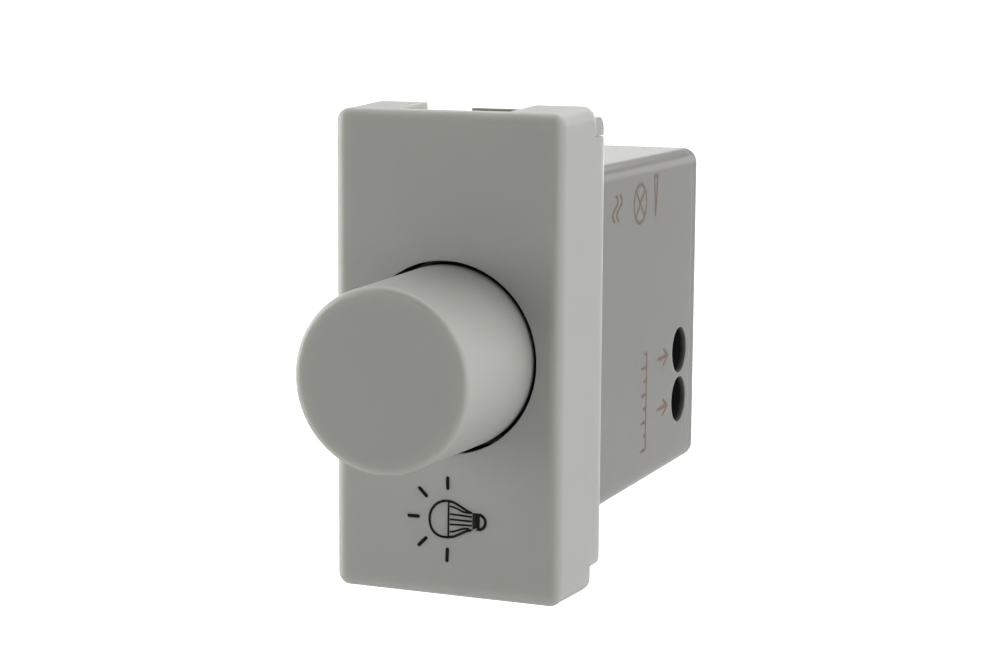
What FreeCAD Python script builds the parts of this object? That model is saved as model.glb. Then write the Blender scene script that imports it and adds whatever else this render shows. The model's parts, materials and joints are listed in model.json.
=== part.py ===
import FreeCAD, Part
import math
import os

# Rotary push-button dimmer, one module wide, for a wall support frame.
# Millimetres. X is the width, +Y runs from the front into the wall, +Z is up.
# The origin is the centre of the seat plane: the rear edge of the cover's top and bottom walls.

# Cover
COVER_WIDTH = 22.5
COVER_HEIGHT = 45.0
COVER_DEPTH = 8.5
COVER_WALL = 1.3
FACE_THICKNESS = 1.6
COVER_CORNER_R = 1.2
COVER_FRONT_R = 1.1
SIDE_REACH = 2.45
SIDE_TOP_STEP = 2.5
SIDE_BOTTOM_STEP = 2.1
SIDE_END_R = 0.5
NOTCH_WIDTH = 11.0
NOTCH_LIP = 1.75
CROWN_RISE = 0.28
CROWN_RUN = 6.5
CROWN_FLAT = 0.8
COLLAR_WALL = 0.8
COLLAR_DEPTH = 2.6

# Knob
KNOB_FRONT_R = 8.23
KNOB_BASE_R = 8.55
KNOB_PROTRUSION = 14.2
KNOB_INSET = 2.3
KNOB_EDGE_R = 0.6
KNOB_WALL = 1.2
KNOB_FRONT_THICKNESS = 1.6
KNOB_HOLE_GAP = 0.4
KNOB_TRAVEL = 1.5
HUB_R = 4.3
HUB_SETBACK = 2.0
RIB_THICKNESS = 0.9
RIB_LENGTH = 11.5
RIB_COUNT = 4
CLIP_THICKNESS = 0.45
CLIP_WIDTH = 2.5
CLIP_FROM_HUB_END = 0.9
CLIP_OPENING_ANGLE = 70.0

# Shaft
SHAFT_R = 3.0
SHAFT_FLAT = 1.5
SHAFT_IN_KNOB = 12.2
SHAFT_TIP_R = 2.5
SHAFT_GROOVE_R = 2.0
RING_R = 4.5
RING_THICKNESS = 0.6
RING_GAP = 0.15
RING_OPENING = 2.6

# Inner frame
FRAME_INSET = 2.0
FRAME_PLATE = 1.6
FRAME_WALL = 1.2
FRAME_REACH = 2.1
LUG_REACH = 2.7
LUG_SIDE_INSET = 0.15
LUG_TOP_INSET = 0.75
LUG_ROOT = 2.6
LUG_R = 1.2
SNAP_HEIGHT = 0.4
SNAP_WIDTH = 4.0
SNAP_DEPTH = 1.2
SNAP_Z = 12.0
SNAP_FROM_SEAT = 1.5

# Potentiometer
POT_R = 8.0
POT_DEPTH = 6.0
POT_WALL = 0.5
BUSHING_R = 3.5
BUSHING_REACH = 4.3
BUSHING_FLANGE = 0.8
WASHER_THICKNESS = 0.4
WASHER_R = 5.2
NUT_SIDES = 6
NUT_FLATS = 10.0
NUT_THICKNESS = 1.7
POT_BASE_THICKNESS = 0.8
POT_BACK_WALL = 0.6
TRACK_THICKNESS = 0.25
TRACK_EDGE_GAP = 0.9
TRACK_WIDTH = 1.8
TRACK_ANGLE = 300.0
ROTOR_SIDE_GAP = 0.7
ROTOR_THICKNESS = 1.6
ROTOR_HUB_R = 4.2
ROTOR_HUB_EXTRA = 0.9
ROTOR_FROM_FLANGE = 0.6
WIPER_PLATE = 0.3
WIPER_FINGER_WIDTH = 1.0
POT_PIN_PITCH = 2.5
POT_PIN_INSET = 0.9

# Push switch
SWITCH_STANDOFF = 3.4
SWITCH_DEPTH = 9.0
SWITCH_HALF_X = 6.4
SWITCH_HALF_Z = 6.0
SWITCH_WALL = 1.0
SWITCH_FRONT_WALL = 1.2
SWITCH_BASE_THICKNESS = 1.2
PLUNGER_R = 3.9
PLUNGER_CUP = 1.5
PLUNGER_FLANGE_R = 4.7
PLUNGER_FLANGE = 1.0
PLUNGER_FLANGE_GAP = 0.15
STEM_R = 1.6
STEM_LENGTH = 3.4
SPRING_R = 2.25
SPRING_WIRE_R = 0.22
SPRING_TURNS = 5
QUARTERS = 4
BRIDGE_THICKNESS = 0.3
BRIDGE_HALF_WIDTH = 1.1
BRIDGE_HALF_LENGTH = 5.0
BRIDGE_HOLE_R = 2.8
CONTACT_GAP = 0.1
CONTACT_PAD_LENGTH = 1.1
CONTACT_PAD_HALF_WIDTH = 0.9
CONTACT_THICKNESS = 0.4

# Housing and lid
BODY_WIDTH = 21.5
BODY_TOP_Z = 16.9
BODY_BOTTOM_Z = -16.0
BODY_REAR_Y = 34.1
BODY_WALL = 1.5
BODY_FRONT_WALL = 1.6
BODY_EDGE_R = 1.5
LID_THICKNESS = 2.8
SEAM_CHAMFER = 0.18
COVER_TO_BODY_GAP = 0.05
FLANGE_THICKNESS = 1.7
POT_WINDOW_GAP = 0.6
POST_SIZE = 2.0
HOOK_WIDTH = 4.8
HOOK_SEAT_Y = 3.2
HOOK_BACK_Y = 5.0
HOOK_ARM_THICKNESS = 1.2
HOOK_ROOT_INSET = 0.45
HOOK_TIP_INSET = 0.35
HOOK_LEAD_IN = 1.1
LID_LEG_WIDTH = 3.0
LID_LEG_THICKNESS = 0.9
LID_LEG_LENGTH = 2.6
LID_LEG_X = 6.0
LID_BARB = 0.3
LID_BARB_LENGTH = 0.8

# Terminals
TERMINAL_Y = 28.0
TERMINAL_TOP_Z = -3.8
TERMINAL_PITCH = 5.2
TERMINAL_COUNT = 2
DRIVER_HOLE_R = 2.4
WIRE_HOLE_R = 1.6
BLOCK_DEPTH = 7.65
BLOCK_SIDE = 0.65
BLOCK_LEFT_WALL = 0.65
BLOCK_FOOT = 1.8
WELL_R = 2.05
HEAD_R = 1.85
HEAD_THICKNESS = 1.7
HEAD_INSET = 0.15
SLOT_WIDTH = 0.6
SLOT_DEPTH = 0.9
SHOULDER = 0.5
SHANK_R = 1.25
CAGE_HALF_WIDTH = 2.2
CAGE_HALF_DEPTH = 2.7
CAGE_SIDE = 0.7
CAGE_TOP = 2.0
CAGE_BOTTOM = 1.2
CAGE_RISE = 2.5
CAGE_MOUTH = 4.7
CHAMBER_GAP = 0.15
BAR_THICKNESS = 1.0
BAR_UNDER_CAGE_TOP = 0.8
BAR_SIDE_GAP = 0.1
TAIL_HALF_WIDTH = 0.8

# Circuit board and its components
BOARD_THICKNESS = 1.6
BOARD_GAP = 0.25
LEAD_R = 0.35
LEAD_STUB = 0.4
LEAD_GAP = 0.1
COMPONENT_STANDOFF = 0.5
SHEET_THICKNESS = 0.4
SINK_THICKNESS = 1.0
SINK_BOTTOM_Z = 1.0
SINK_TOP_INSET = 0.6
PAD_THICKNESS = 0.3
PAD_MARGIN = 1.2
TRANSISTOR_THICKNESS = 3.0
TRANSISTOR_WIDTH = 5.2
TRANSISTOR_LENGTH = 8.0
TRANSISTOR_GAP = 1.0
TRANSISTOR_FROM_BOARD = 3.0
TRANSISTOR_LEG_PITCH = 1.6
CHOKE_R = 5.0
CHOKE_SIDE_GAP = 0.25
CHOKE_TOP_GAP = 0.8
CHOKE_CORE_R = 2.2
CHOKE_WINDING_R = 4.4
CHOKE_FLANGE = 1.3
CHOKE_LENGTH = 9.0
CHOKE_PIN_OFFSET = 3.4
FILM_THICKNESS = 2.8
FILM_WIDTH = 12.0
FILM_HEIGHT = 9.4
FILM_LEAD_SPAN = 8.0
CAN_R = 2.2
CAN_BOTTOM_GAP = 0.5
CAN_HEIGHT = 8.4
CAN_LEAD_SPAN = 2.0
VARISTOR_R = 3.2
VARISTOR_TOP_GAP = 0.5
VARISTOR_THICKNESS = 2.6
VARISTOR_LEAD_SPAN = 4.4
FUSE_R = 1.4
FUSE_LENGTH = 7.6
FUSE_LEAD_OUT = 0.8
CHIP_WIDTH = 6.0
CHIP_HEIGHT = 4.0
CHIP_THICKNESS = 1.5
CHIP_TOP_GAP = 2.0
CHIP_LEG_WIDTH = 0.5
CHIP_LEG_REACH = 0.9
CHIP_LEG_COUNT = 4
CHIP_LEG_PITCH = 1.27
RECTIFIER_BOTTOM_GAP = 1.3
RECTIFIER_WIDTH = 7.0
RECTIFIER_HEIGHT = 4.6
RECTIFIER_THICKNESS = 2.4
RESISTOR_LENGTH = 1.6
RESISTOR_WIDTH = 0.8
RESISTOR_THICKNESS = 0.5
RESISTOR_EDGE_GAP = 0.4
RESISTOR_PITCH = 2.4
RESISTOR_COUNT = 5

# Fits
RUN_GAP = 0.05
SLIP_GAP = 0.1
PRESS_GAP = 0.02

# Places that follow from the sizes above
COVER_HALF_W = COVER_WIDTH / 2
COVER_HALF_H = COVER_HEIGHT / 2
CAVITY_HALF_W = COVER_HALF_W - COVER_WALL
CAVITY_HALF_H = COVER_HALF_H - COVER_WALL
FACE_Y = -COVER_DEPTH
FACE_BACK_Y = FACE_Y + FACE_THICKNESS
SIDE_TOP_Z = COVER_HALF_H - SIDE_TOP_STEP
SIDE_BOTTOM_Z = SIDE_BOTTOM_STEP - COVER_HALF_H
NOTCH_HALF_W = NOTCH_WIDTH / 2

KNOB_FRONT_Y = FACE_Y - KNOB_PROTRUSION
KNOB_INNER_Y = KNOB_FRONT_Y + KNOB_FRONT_THICKNESS
KNOB_REAR_Y = FACE_Y + KNOB_INSET
KNOB_REAR_R = KNOB_BASE_R + (KNOB_BASE_R - KNOB_FRONT_R) * KNOB_INSET / KNOB_PROTRUSION
KNOB_HOLE_R = KNOB_BASE_R + KNOB_HOLE_GAP
HUB_REAR_Y = KNOB_REAR_Y - HUB_SETBACK

FRAME_BACK_Y = -FRAME_INSET
FRAME_FRONT_Y = FRAME_BACK_Y - FRAME_PLATE
FRAME_HALF_W = CAVITY_HALF_W - SLIP_GAP
FRAME_HALF_H = CAVITY_HALF_H - SLIP_GAP
FRAME_INNER_HALF_W = FRAME_HALF_W - FRAME_WALL
FRAME_INNER_HALF_H = FRAME_HALF_H - FRAME_WALL

POT_BACK_Y = FRAME_BACK_Y + POT_DEPTH
POT_BASE_BACK_Y = POT_BACK_Y - POT_BACK_WALL
POT_BASE_FRONT_Y = POT_BASE_BACK_Y - POT_BASE_THICKNESS
TRACK_FRONT_Y = POT_BASE_FRONT_Y - TRACK_THICKNESS
POT_INNER_R = POT_R - POT_WALL
POT_PIN_Z = POT_INNER_R - POT_PIN_INSET
ROTOR_R = POT_INNER_R - ROTOR_SIDE_GAP
TRACK_OUTER_R = POT_INNER_R - TRACK_EDGE_GAP
TRACK_INNER_R = TRACK_OUTER_R - TRACK_WIDTH
ROTOR_FRONT_Y = FRAME_BACK_Y + BUSHING_FLANGE + ROTOR_FROM_FLANGE
ROTOR_BACK_Y = ROTOR_FRONT_Y + ROTOR_THICKNESS
BUSHING_BORE_R = SHAFT_R + RUN_GAP
BUSHING_FRONT_Y = FRAME_BACK_Y - BUSHING_REACH
WASHER_FRONT_Y = FRAME_FRONT_Y - WASHER_THICKNESS
NUT_FRONT_Y = WASHER_FRONT_Y - NUT_THICKNESS

RING_FRONT_Y = POT_BACK_Y + RING_GAP
RING_BACK_Y = RING_FRONT_Y + RING_THICKNESS
SWITCH_FRONT_Y = POT_BACK_Y + SWITCH_STANDOFF
SWITCH_CAVITY_Y = SWITCH_FRONT_Y + SWITCH_FRONT_WALL
BOARD_FRONT_Y = SWITCH_FRONT_Y + SWITCH_DEPTH
BOARD_BACK_Y = BOARD_FRONT_Y + BOARD_THICKNESS
SWITCH_BASE_Y = BOARD_FRONT_Y - SWITCH_BASE_THICKNESS
PLUNGER_FLANGE_Y = SWITCH_CAVITY_Y + PLUNGER_FLANGE_GAP
PLUNGER_FLANGE_BACK_Y = PLUNGER_FLANGE_Y + PLUNGER_FLANGE
PLUNGER_FLOOR_Y = SWITCH_FRONT_Y + PLUNGER_CUP / 2
PLUNGER_FRONT_Y = PLUNGER_FLOOR_Y - PLUNGER_CUP
CONTACT_FRONT_Y = PLUNGER_FLANGE_BACK_Y + BRIDGE_THICKNESS + KNOB_TRAVEL + CONTACT_GAP

BODY_HALF_W = BODY_WIDTH / 2
BODY_FRONT_Y = SIDE_REACH + COVER_TO_BODY_GAP
BODY_CAVITY_Y = BODY_FRONT_Y + BODY_FRONT_WALL
LID_FRONT_Y = BODY_REAR_Y - LID_THICKNESS
BODY_INNER_HALF_W = BODY_HALF_W - BODY_WALL
BODY_INNER_TOP_Z = BODY_TOP_Z - BODY_WALL
BODY_INNER_BOTTOM_Z = BODY_BOTTOM_Z + BODY_WALL
FLANGE_HALF_W = FRAME_INNER_HALF_W - SLIP_GAP
FLANGE_HALF_H = FRAME_INNER_HALF_H - SLIP_GAP
WINDOW_HALF = POT_R + POT_WINDOW_GAP

BLOCK_RIGHT_X = BODY_INNER_HALF_W - SLIP_GAP
HEAD_OUTER_X = BLOCK_RIGHT_X - HEAD_INSET
HEAD_INNER_X = HEAD_OUTER_X - HEAD_THICKNESS
SHOULDER_X = HEAD_INNER_X - SHOULDER
CAGE_TOP_X = SHOULDER_X - CHAMBER_GAP - CAGE_RISE
CAGE_ROOF_X = CAGE_TOP_X - CAGE_TOP
BAR_TOP_X = CAGE_ROOF_X - BAR_UNDER_CAGE_TOP
BAR_BOTTOM_X = BAR_TOP_X - BAR_THICKNESS
CAGE_FLOOR_X = CAGE_ROOF_X - CAGE_MOUTH
CAGE_BOTTOM_X = CAGE_FLOOR_X - CAGE_BOTTOM
CHAMBER_LEFT_X = CAGE_BOTTOM_X - CHAMBER_GAP
BLOCK_LEFT_X = CHAMBER_LEFT_X - BLOCK_LEFT_WALL
WIRE_X = (BAR_BOTTOM_X + CAGE_FLOOR_X) / 2
BLOCK_BACK_Y = LID_FRONT_Y - RUN_GAP
BLOCK_FRONT_Y = BLOCK_BACK_Y - BLOCK_DEPTH
CHAMBER_HALF_WIDTH = CAGE_HALF_WIDTH + CHAMBER_GAP
CHAMBER_FRONT_Y = TERMINAL_Y - CAGE_HALF_DEPTH - CHAMBER_GAP
CHAMBER_BACK_Y = TERMINAL_Y + CAGE_HALF_DEPTH + CHAMBER_GAP
TERMINAL_Z = [TERMINAL_TOP_Z - TERMINAL_PITCH * i for i in range(TERMINAL_COUNT)]
BLOCK_TOP_Z = TERMINAL_Z[0] + CHAMBER_HALF_WIDTH + BLOCK_SIDE
BLOCK_BOTTOM_Z = TERMINAL_Z[-1] - CHAMBER_HALF_WIDTH - BLOCK_SIDE
BAR_HALF_WIDTH = CAGE_HALF_WIDTH - CAGE_SIDE - BAR_SIDE_GAP

BOARD_HALF_W = BODY_INNER_HALF_W - BOARD_GAP
BOARD_TOP_Z = BODY_INNER_TOP_Z - BOARD_GAP
BOARD_BOTTOM_Z = BODY_INNER_BOTTOM_Z + BOARD_GAP
LEAD_BACK_Y = BOARD_BACK_Y + LEAD_STUB
COMPONENT_Y = BOARD_BACK_Y + COMPONENT_STANDOFF
SHEET_TOP_Z = SINK_BOTTOM_Z - SLIP_GAP
SINK_INNER_X = SINK_THICKNESS - BODY_INNER_HALF_W
SINK_TOP_Z = BODY_INNER_TOP_Z - SINK_TOP_INSET
PAD_X = SINK_INNER_X + PAD_THICKNESS
TRANSISTOR_X = PAD_X + TRANSISTOR_THICKNESS
TRANSISTOR_MID_X = (PAD_X + TRANSISTOR_X) / 2
TRANSISTOR_FRONT_Y = BOARD_BACK_Y + TRANSISTOR_FROM_BOARD
SINK_MID_Z = (SINK_BOTTOM_Z + SINK_TOP_Z) / 2
TRANSISTOR_STEP = (TRANSISTOR_WIDTH + TRANSISTOR_GAP) / 2
TRANSISTOR_Z = [SINK_MID_Z - TRANSISTOR_STEP, SINK_MID_Z + TRANSISTOR_STEP]
TERMINAL_MID_Z = (TERMINAL_Z[0] + TERMINAL_Z[-1]) / 2
FUSE_Y = (BOARD_BACK_Y + BLOCK_FRONT_Y) / 2
FUSE_X = (BAR_BOTTOM_X + BAR_TOP_X) / 2
CHOKE_X = BODY_INNER_HALF_W - CHOKE_SIDE_GAP - CHOKE_R
CHOKE_Z = BODY_INNER_TOP_Z - CHOKE_TOP_GAP - CHOKE_R
FILM_X = (TRANSISTOR_X + CHOKE_X - CHOKE_R) / 2
FILM_Z = SINK_MID_Z
SIDE_BAY_X = (BLOCK_LEFT_X - BODY_INNER_HALF_W) / 2
CAN_Z = BODY_INNER_BOTTOM_Z + CAN_BOTTOM_GAP + CAN_R
VARISTOR_Z = SHEET_TOP_Z - SHEET_THICKNESS - VARISTOR_TOP_GAP - VARISTOR_R
CHIP_Z = BOARD_TOP_Z - CHIP_TOP_GAP - CHIP_HEIGHT / 2
RECTIFIER_Z = BOARD_BOTTOM_Z + RECTIFIER_BOTTOM_GAP + RECTIFIER_HEIGHT / 2
RESISTOR_X = RESISTOR_EDGE_GAP + RESISTOR_LENGTH / 2 - BOARD_HALF_W

ALONG_X = FreeCAD.Vector(1, 0, 0)
ALONG_Y = FreeCAD.Vector(0, 1, 0)
FAR = COVER_HEIGHT


def point(x, y, z):
    return FreeCAD.Vector(x, y, z)


def box(x0, x1, y0, y1, z0, z1):
    return Part.makeBox(x1 - x0, y1 - y0, z1 - z0, point(x0, y0, z0))


def rod_y(radius, y0, y1, x=0.0, z=0.0):
    return Part.makeCylinder(radius, y1 - y0, point(x, y0, z), ALONG_Y)


def rod_x(radius, x0, x1, y, z):
    return Part.makeCylinder(radius, x1 - x0, point(x0, y, z), ALONG_X)


def tube_y(outer, inner, y0, y1):
    return rod_y(outer, y0, y1).cut(rod_y(inner, y0, y1))


def cut_all(shape, tools):
    for tool in tools:
        shape = shape.cut(tool)
    return shape


def join_all(shape, others):
    for other in others:
        shape = shape.fuse(other)
    return shape.removeSplitter()


def turn_y(shape, degrees):
    turned = shape.copy()
    turned.rotate(point(0, 0, 0), ALONG_Y, degrees)
    return turned


def mirror_z(shape):
    return shape.mirror(point(0, 0, 0), point(0, 0, 1))


def prism_x(outline_yz, x0, x1):
    """A solid with an outline of (Y, Z) corners, running from x0 to x1."""
    corners = [point(x0, y, z) for y, z in outline_yz]
    face = Part.Face(Part.makePolygon(corners + corners[:1]))
    return face.extrude(point(x1 - x0, 0, 0))


def edges_on(shape, test):
    """The edges whose two ends and middle all pass the test."""
    found = []
    for edge in shape.Edges:
        middle = edge.valueAt((edge.FirstParameter + edge.LastParameter) / 2)
        ends = [vertex.Point for vertex in edge.Vertexes]
        if all(test(p) for p in ends + [middle]):
            found.append(edge)
    return found


def near(a, b):
    return abs(a - b) < RUN_GAP / 10


def d_bar(radius, flat, y0, y1):
    """A round bar with one flat towards +Z."""
    bar = rod_y(radius, y0, y1)
    return bar.cut(box(-FAR, FAR, y0, y1, flat, FAR))


def rounded_box(x0, x1, y0, y1, z0, z1, radius):
    """A box whose four edges along Y are rounded."""
    body = box(x0, x1, y0, y1, z0, z1)
    corners = edges_on(body, lambda p: (near(p.x, x0) or near(p.x, x1)) and (near(p.z, z0) or near(p.z, z1)))
    return body.makeFillet(radius, corners)


def cover_outline(y, rise):
    """The cover's rounded outline at y, with its top and bottom moved out by the rise."""
    top = COVER_HALF_H + rise
    block = rounded_box(-COVER_HALF_W, COVER_HALF_W, y, y + COVER_DEPTH, -top, top, COVER_CORNER_R)
    return min(block.Faces, key=lambda face: face.CenterOfMass.y).OuterWire


def crown():
    """The rear of the cover, whose top and bottom rise a little towards the seat plane."""
    places = [(-CROWN_RUN, 0.0), (-CROWN_FLAT, CROWN_RISE), (0.0, CROWN_RISE)]
    return Part.makeLoft([cover_outline(y, rise) for y, rise in places], True, True)


def snap_boxes(half_width, grow):
    """The snaps on both side walls: the pockets when grown, the bumps when not."""
    y0 = -SNAP_FROM_SEAT - grow
    y1 = -SNAP_FROM_SEAT + SNAP_DEPTH + grow
    half = SNAP_WIDTH / 2 + grow
    outer = half_width + SNAP_HEIGHT + grow
    right = [box(half_width, outer, y0, y1, z - half, z + half) for z in (-SNAP_Z, SNAP_Z)]
    return right + [snap.mirror(point(0, 0, 0), ALONG_X) for snap in right]


def front_cover():
    shell = rounded_box(
        -COVER_HALF_W, COVER_HALF_W, FACE_Y, SIDE_REACH, -COVER_HALF_H, COVER_HALF_H, COVER_CORNER_R
    )
    shell = shell.makeFillet(COVER_FRONT_R, edges_on(shell, lambda p: near(p.y, FACE_Y)))
    shell = shell.cut(box(-FAR, FAR, 0, FAR, SIDE_TOP_Z, FAR))
    shell = shell.cut(box(-FAR, FAR, 0, FAR, -FAR, SIDE_BOTTOM_Z))
    side_ends = edges_on(
        shell, lambda p: near(p.y, SIDE_REACH) and (near(p.z, SIDE_TOP_Z) or near(p.z, SIDE_BOTTOM_Z))
    )
    shell = shell.makeFillet(SIDE_END_R, side_ends)
    shell = join_all(shell, [crown()])
    shell = shell.cut(
        box(-CAVITY_HALF_W, CAVITY_HALF_W, FACE_BACK_Y, FAR, -CAVITY_HALF_H, CAVITY_HALF_H)
    )
    notch = box(-NOTCH_HALF_W, NOTCH_HALF_W, FACE_Y + NOTCH_LIP, FAR, CAVITY_HALF_H - SLIP_GAP, FAR)
    shell = cut_all(shell, [notch, mirror_z(notch)])
    collar = tube_y(KNOB_HOLE_R + COLLAR_WALL, KNOB_HOLE_R, FACE_BACK_Y, FACE_BACK_Y + COLLAR_DEPTH)
    shell = join_all(shell, [collar])
    shell = shell.cut(rod_y(KNOB_HOLE_R, FACE_Y, FACE_BACK_Y + COLLAR_DEPTH))
    return cut_all(shell, snap_boxes(CAVITY_HALF_W, SLIP_GAP))


def knob():
    length = KNOB_REAR_Y - KNOB_FRONT_Y
    body = Part.makeCone(KNOB_FRONT_R, KNOB_REAR_R, length, point(0, KNOB_FRONT_Y, 0), ALONG_Y)
    body = body.makeFillet(KNOB_EDGE_R, edges_on(body, lambda p: near(p.y, KNOB_FRONT_Y)))
    inner_depth = KNOB_REAR_Y - KNOB_INNER_Y
    body = body.cut(
        Part.makeCone(
            KNOB_FRONT_R - KNOB_WALL, KNOB_REAR_R - KNOB_WALL, inner_depth, point(0, KNOB_INNER_Y, 0), ALONG_Y
        )
    )
    hub = rod_y(HUB_R, KNOB_INNER_Y, HUB_REAR_Y)
    half = RIB_THICKNESS / 2
    rib = box(0, KNOB_FRONT_R - KNOB_WALL / 2, KNOB_INNER_Y, KNOB_INNER_Y + RIB_LENGTH, -half, half)
    ribs = [turn_y(rib, (i + 0.5) * 360.0 / RIB_COUNT) for i in range(RIB_COUNT)]
    body = join_all(body, [hub] + ribs)
    bore = d_bar(SHAFT_R + PRESS_GAP, SHAFT_FLAT + PRESS_GAP, HUB_REAR_Y - SHAFT_IN_KNOB, HUB_REAR_Y)
    return cut_all(body, [bore, clip_band(CLIP_THICKNESS)])


def clip_band(extra):
    """The round seat that the clip takes on the hub, past the ends of the ribs."""
    y1 = HUB_REAR_Y - CLIP_FROM_HUB_END
    return tube_y(HUB_R + extra, HUB_R - PRESS_GAP, y1 - CLIP_WIDTH - extra, y1)


def knob_spring_clip():
    y1 = HUB_REAR_Y - CLIP_FROM_HUB_END
    band = tube_y(HUB_R + CLIP_THICKNESS, HUB_R, y1 - CLIP_WIDTH, y1)
    reach = HUB_R + 2 * CLIP_THICKNESS
    half = math.radians(CLIP_OPENING_ANGLE / 2)
    gap = reach * math.sin(half)
    return band.cut(box(-gap, gap, y1 - CLIP_WIDTH, y1, 0, reach))


def shaft():
    front_y = HUB_REAR_Y - SHAFT_IN_KNOB
    round_y = ROTOR_FRONT_Y - ROTOR_HUB_EXTRA / 2 - KNOB_TRAVEL - SLIP_GAP
    pieces = [
        rod_y(SHAFT_R, HUB_REAR_Y, round_y),
        d_bar(SHAFT_R, SHAFT_FLAT, round_y, RING_FRONT_Y),
        rod_y(SHAFT_GROOVE_R, RING_FRONT_Y, RING_BACK_Y),
        rod_y(SHAFT_TIP_R, RING_BACK_Y, PLUNGER_FLOOR_Y),
    ]
    return join_all(d_bar(SHAFT_R, SHAFT_FLAT, front_y, HUB_REAR_Y), pieces)


def shaft_retaining_ring():
    y0 = RING_FRONT_Y + PRESS_GAP
    y1 = RING_BACK_Y - PRESS_GAP
    ring = tube_y(RING_R, SHAFT_GROOVE_R + PRESS_GAP, y0, y1)
    return ring.cut(box(-RING_OPENING / 2, RING_OPENING / 2, y0, y1, -RING_R, 0))


def inner_frame():
    tray = box(-FRAME_HALF_W, FRAME_HALF_W, FRAME_FRONT_Y, FRAME_REACH, -FRAME_HALF_H, FRAME_HALF_H)
    tray = tray.cut(
        box(
            -FRAME_INNER_HALF_W, FRAME_INNER_HALF_W, FRAME_BACK_Y, FAR,
            -FRAME_INNER_HALF_H, FRAME_INNER_HALF_H,
        )
    )
    tray = tray.cut(rod_y(BUSHING_R + SLIP_GAP, FRAME_FRONT_Y, FRAME_BACK_Y))
    tray = tray.cut(rod_y(WINDOW_HALF, FRAME_BACK_Y, FAR))
    lugs = [corner_lug(), corner_lug().mirror(point(0, 0, 0), ALONG_X)]
    return join_all(tray, lugs + snap_boxes(FRAME_HALF_W, 0.0))


def corner_lug():
    """The lug that fills the step above the cover's right side wall."""
    x1 = COVER_HALF_W - LUG_SIDE_INSET
    z1 = COVER_HALF_H - LUG_TOP_INSET
    lug = box(x1 - LUG_ROOT, x1, RUN_GAP, LUG_REACH, SIDE_TOP_Z + RUN_GAP, z1)
    return lug.makeFillet(LUG_R, edges_on(lug, lambda p: near(p.y, LUG_REACH) and near(p.z, z1)))


def pot_bushing():
    sleeve = rod_y(BUSHING_R, BUSHING_FRONT_Y, FRAME_BACK_Y)
    flange = rod_y(POT_INNER_R - PRESS_GAP, FRAME_BACK_Y, FRAME_BACK_Y + BUSHING_FLANGE)
    body = join_all(sleeve, [flange])
    return body.cut(rod_y(BUSHING_BORE_R, BUSHING_FRONT_Y, FRAME_BACK_Y + BUSHING_FLANGE))


def pot_lock_washer():
    return tube_y(WASHER_R, BUSHING_R + RUN_GAP, WASHER_FRONT_Y, FRAME_FRONT_Y)


def pot_nut():
    corner_r = NUT_FLATS / 2 / math.cos(math.pi / NUT_SIDES)
    corners = []
    for i in range(NUT_SIDES + 1):
        angle = 2 * math.pi * i / NUT_SIDES
        corners.append(point(corner_r * math.cos(angle), NUT_FRONT_Y, corner_r * math.sin(angle)))
    blank = Part.Face(Part.makePolygon(corners)).extrude(point(0, NUT_THICKNESS, 0))
    return blank.cut(rod_y(BUSHING_R + PRESS_GAP, NUT_FRONT_Y, WASHER_FRONT_Y))


def pot_case():
    cup = rod_y(POT_R, FRAME_BACK_Y, POT_BACK_Y)
    cup = cup.cut(rod_y(POT_INNER_R, FRAME_BACK_Y, POT_BASE_BACK_Y))
    cup = cup.cut(rod_y(BUSHING_R, POT_BASE_BACK_Y, POT_BACK_Y))
    return cut_all(cup, [pot_pin(x, LEAD_GAP) for x in pot_pin_places()])


def pot_pin_places():
    return [-POT_PIN_PITCH, 0.0, POT_PIN_PITCH]


def pot_pin(x, grow):
    return rod_y(LEAD_R + grow, POT_BASE_BACK_Y, LEAD_BACK_Y, x, POT_PIN_Z)


def pot_pins():
    return Part.Compound([pot_pin(x, 0.0) for x in pot_pin_places()])


def pot_base():
    radius = POT_INNER_R - PRESS_GAP
    return tube_y(radius, BUSHING_R, POT_BASE_FRONT_Y, POT_BASE_BACK_Y)


def pot_track():
    ring = tube_y(TRACK_OUTER_R, TRACK_INNER_R, TRACK_FRONT_Y, POT_BASE_FRONT_Y)
    half = math.radians((360.0 - TRACK_ANGLE) / 2)
    tip = point(0, TRACK_FRONT_Y, 0)
    left = point(-FAR * math.sin(half), TRACK_FRONT_Y, FAR * math.cos(half))
    right = point(FAR * math.sin(half), TRACK_FRONT_Y, FAR * math.cos(half))
    wedge = Part.Face(Part.makePolygon([tip, left, right, tip])).extrude(point(0, TRACK_THICKNESS, 0))
    return ring.cut(wedge)


def pot_rotor():
    disc = rod_y(ROTOR_R, ROTOR_FRONT_Y, ROTOR_BACK_Y)
    hub = rod_y(ROTOR_HUB_R, ROTOR_FRONT_Y - ROTOR_HUB_EXTRA / 2, ROTOR_BACK_Y + ROTOR_HUB_EXTRA / 2)
    body = join_all(disc, [hub])
    y0 = ROTOR_FRONT_Y - ROTOR_HUB_EXTRA / 2
    y1 = ROTOR_BACK_Y + ROTOR_HUB_EXTRA / 2
    return body.cut(d_bar(SHAFT_R + RUN_GAP, SHAFT_FLAT + RUN_GAP, y0, y1))


def pot_wiper():
    """A sprung plate behind the rotor, with one finger on the track opposite its gap."""
    plate = tube_y(ROTOR_R, ROTOR_HUB_R + PRESS_GAP, ROTOR_BACK_Y, ROTOR_BACK_Y + WIPER_PLATE)
    plate = plate.cut(box(-FAR, FAR, ROTOR_BACK_Y, ROTOR_BACK_Y + WIPER_PLATE, 0, FAR))
    track_mid = (TRACK_INNER_R + TRACK_OUTER_R) / 2
    half = WIPER_FINGER_WIDTH / 2
    finger = box(-half, half, ROTOR_BACK_Y, TRACK_FRONT_Y - RUN_GAP, -track_mid - half, -track_mid + half)
    return join_all(plate, [finger])


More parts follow.
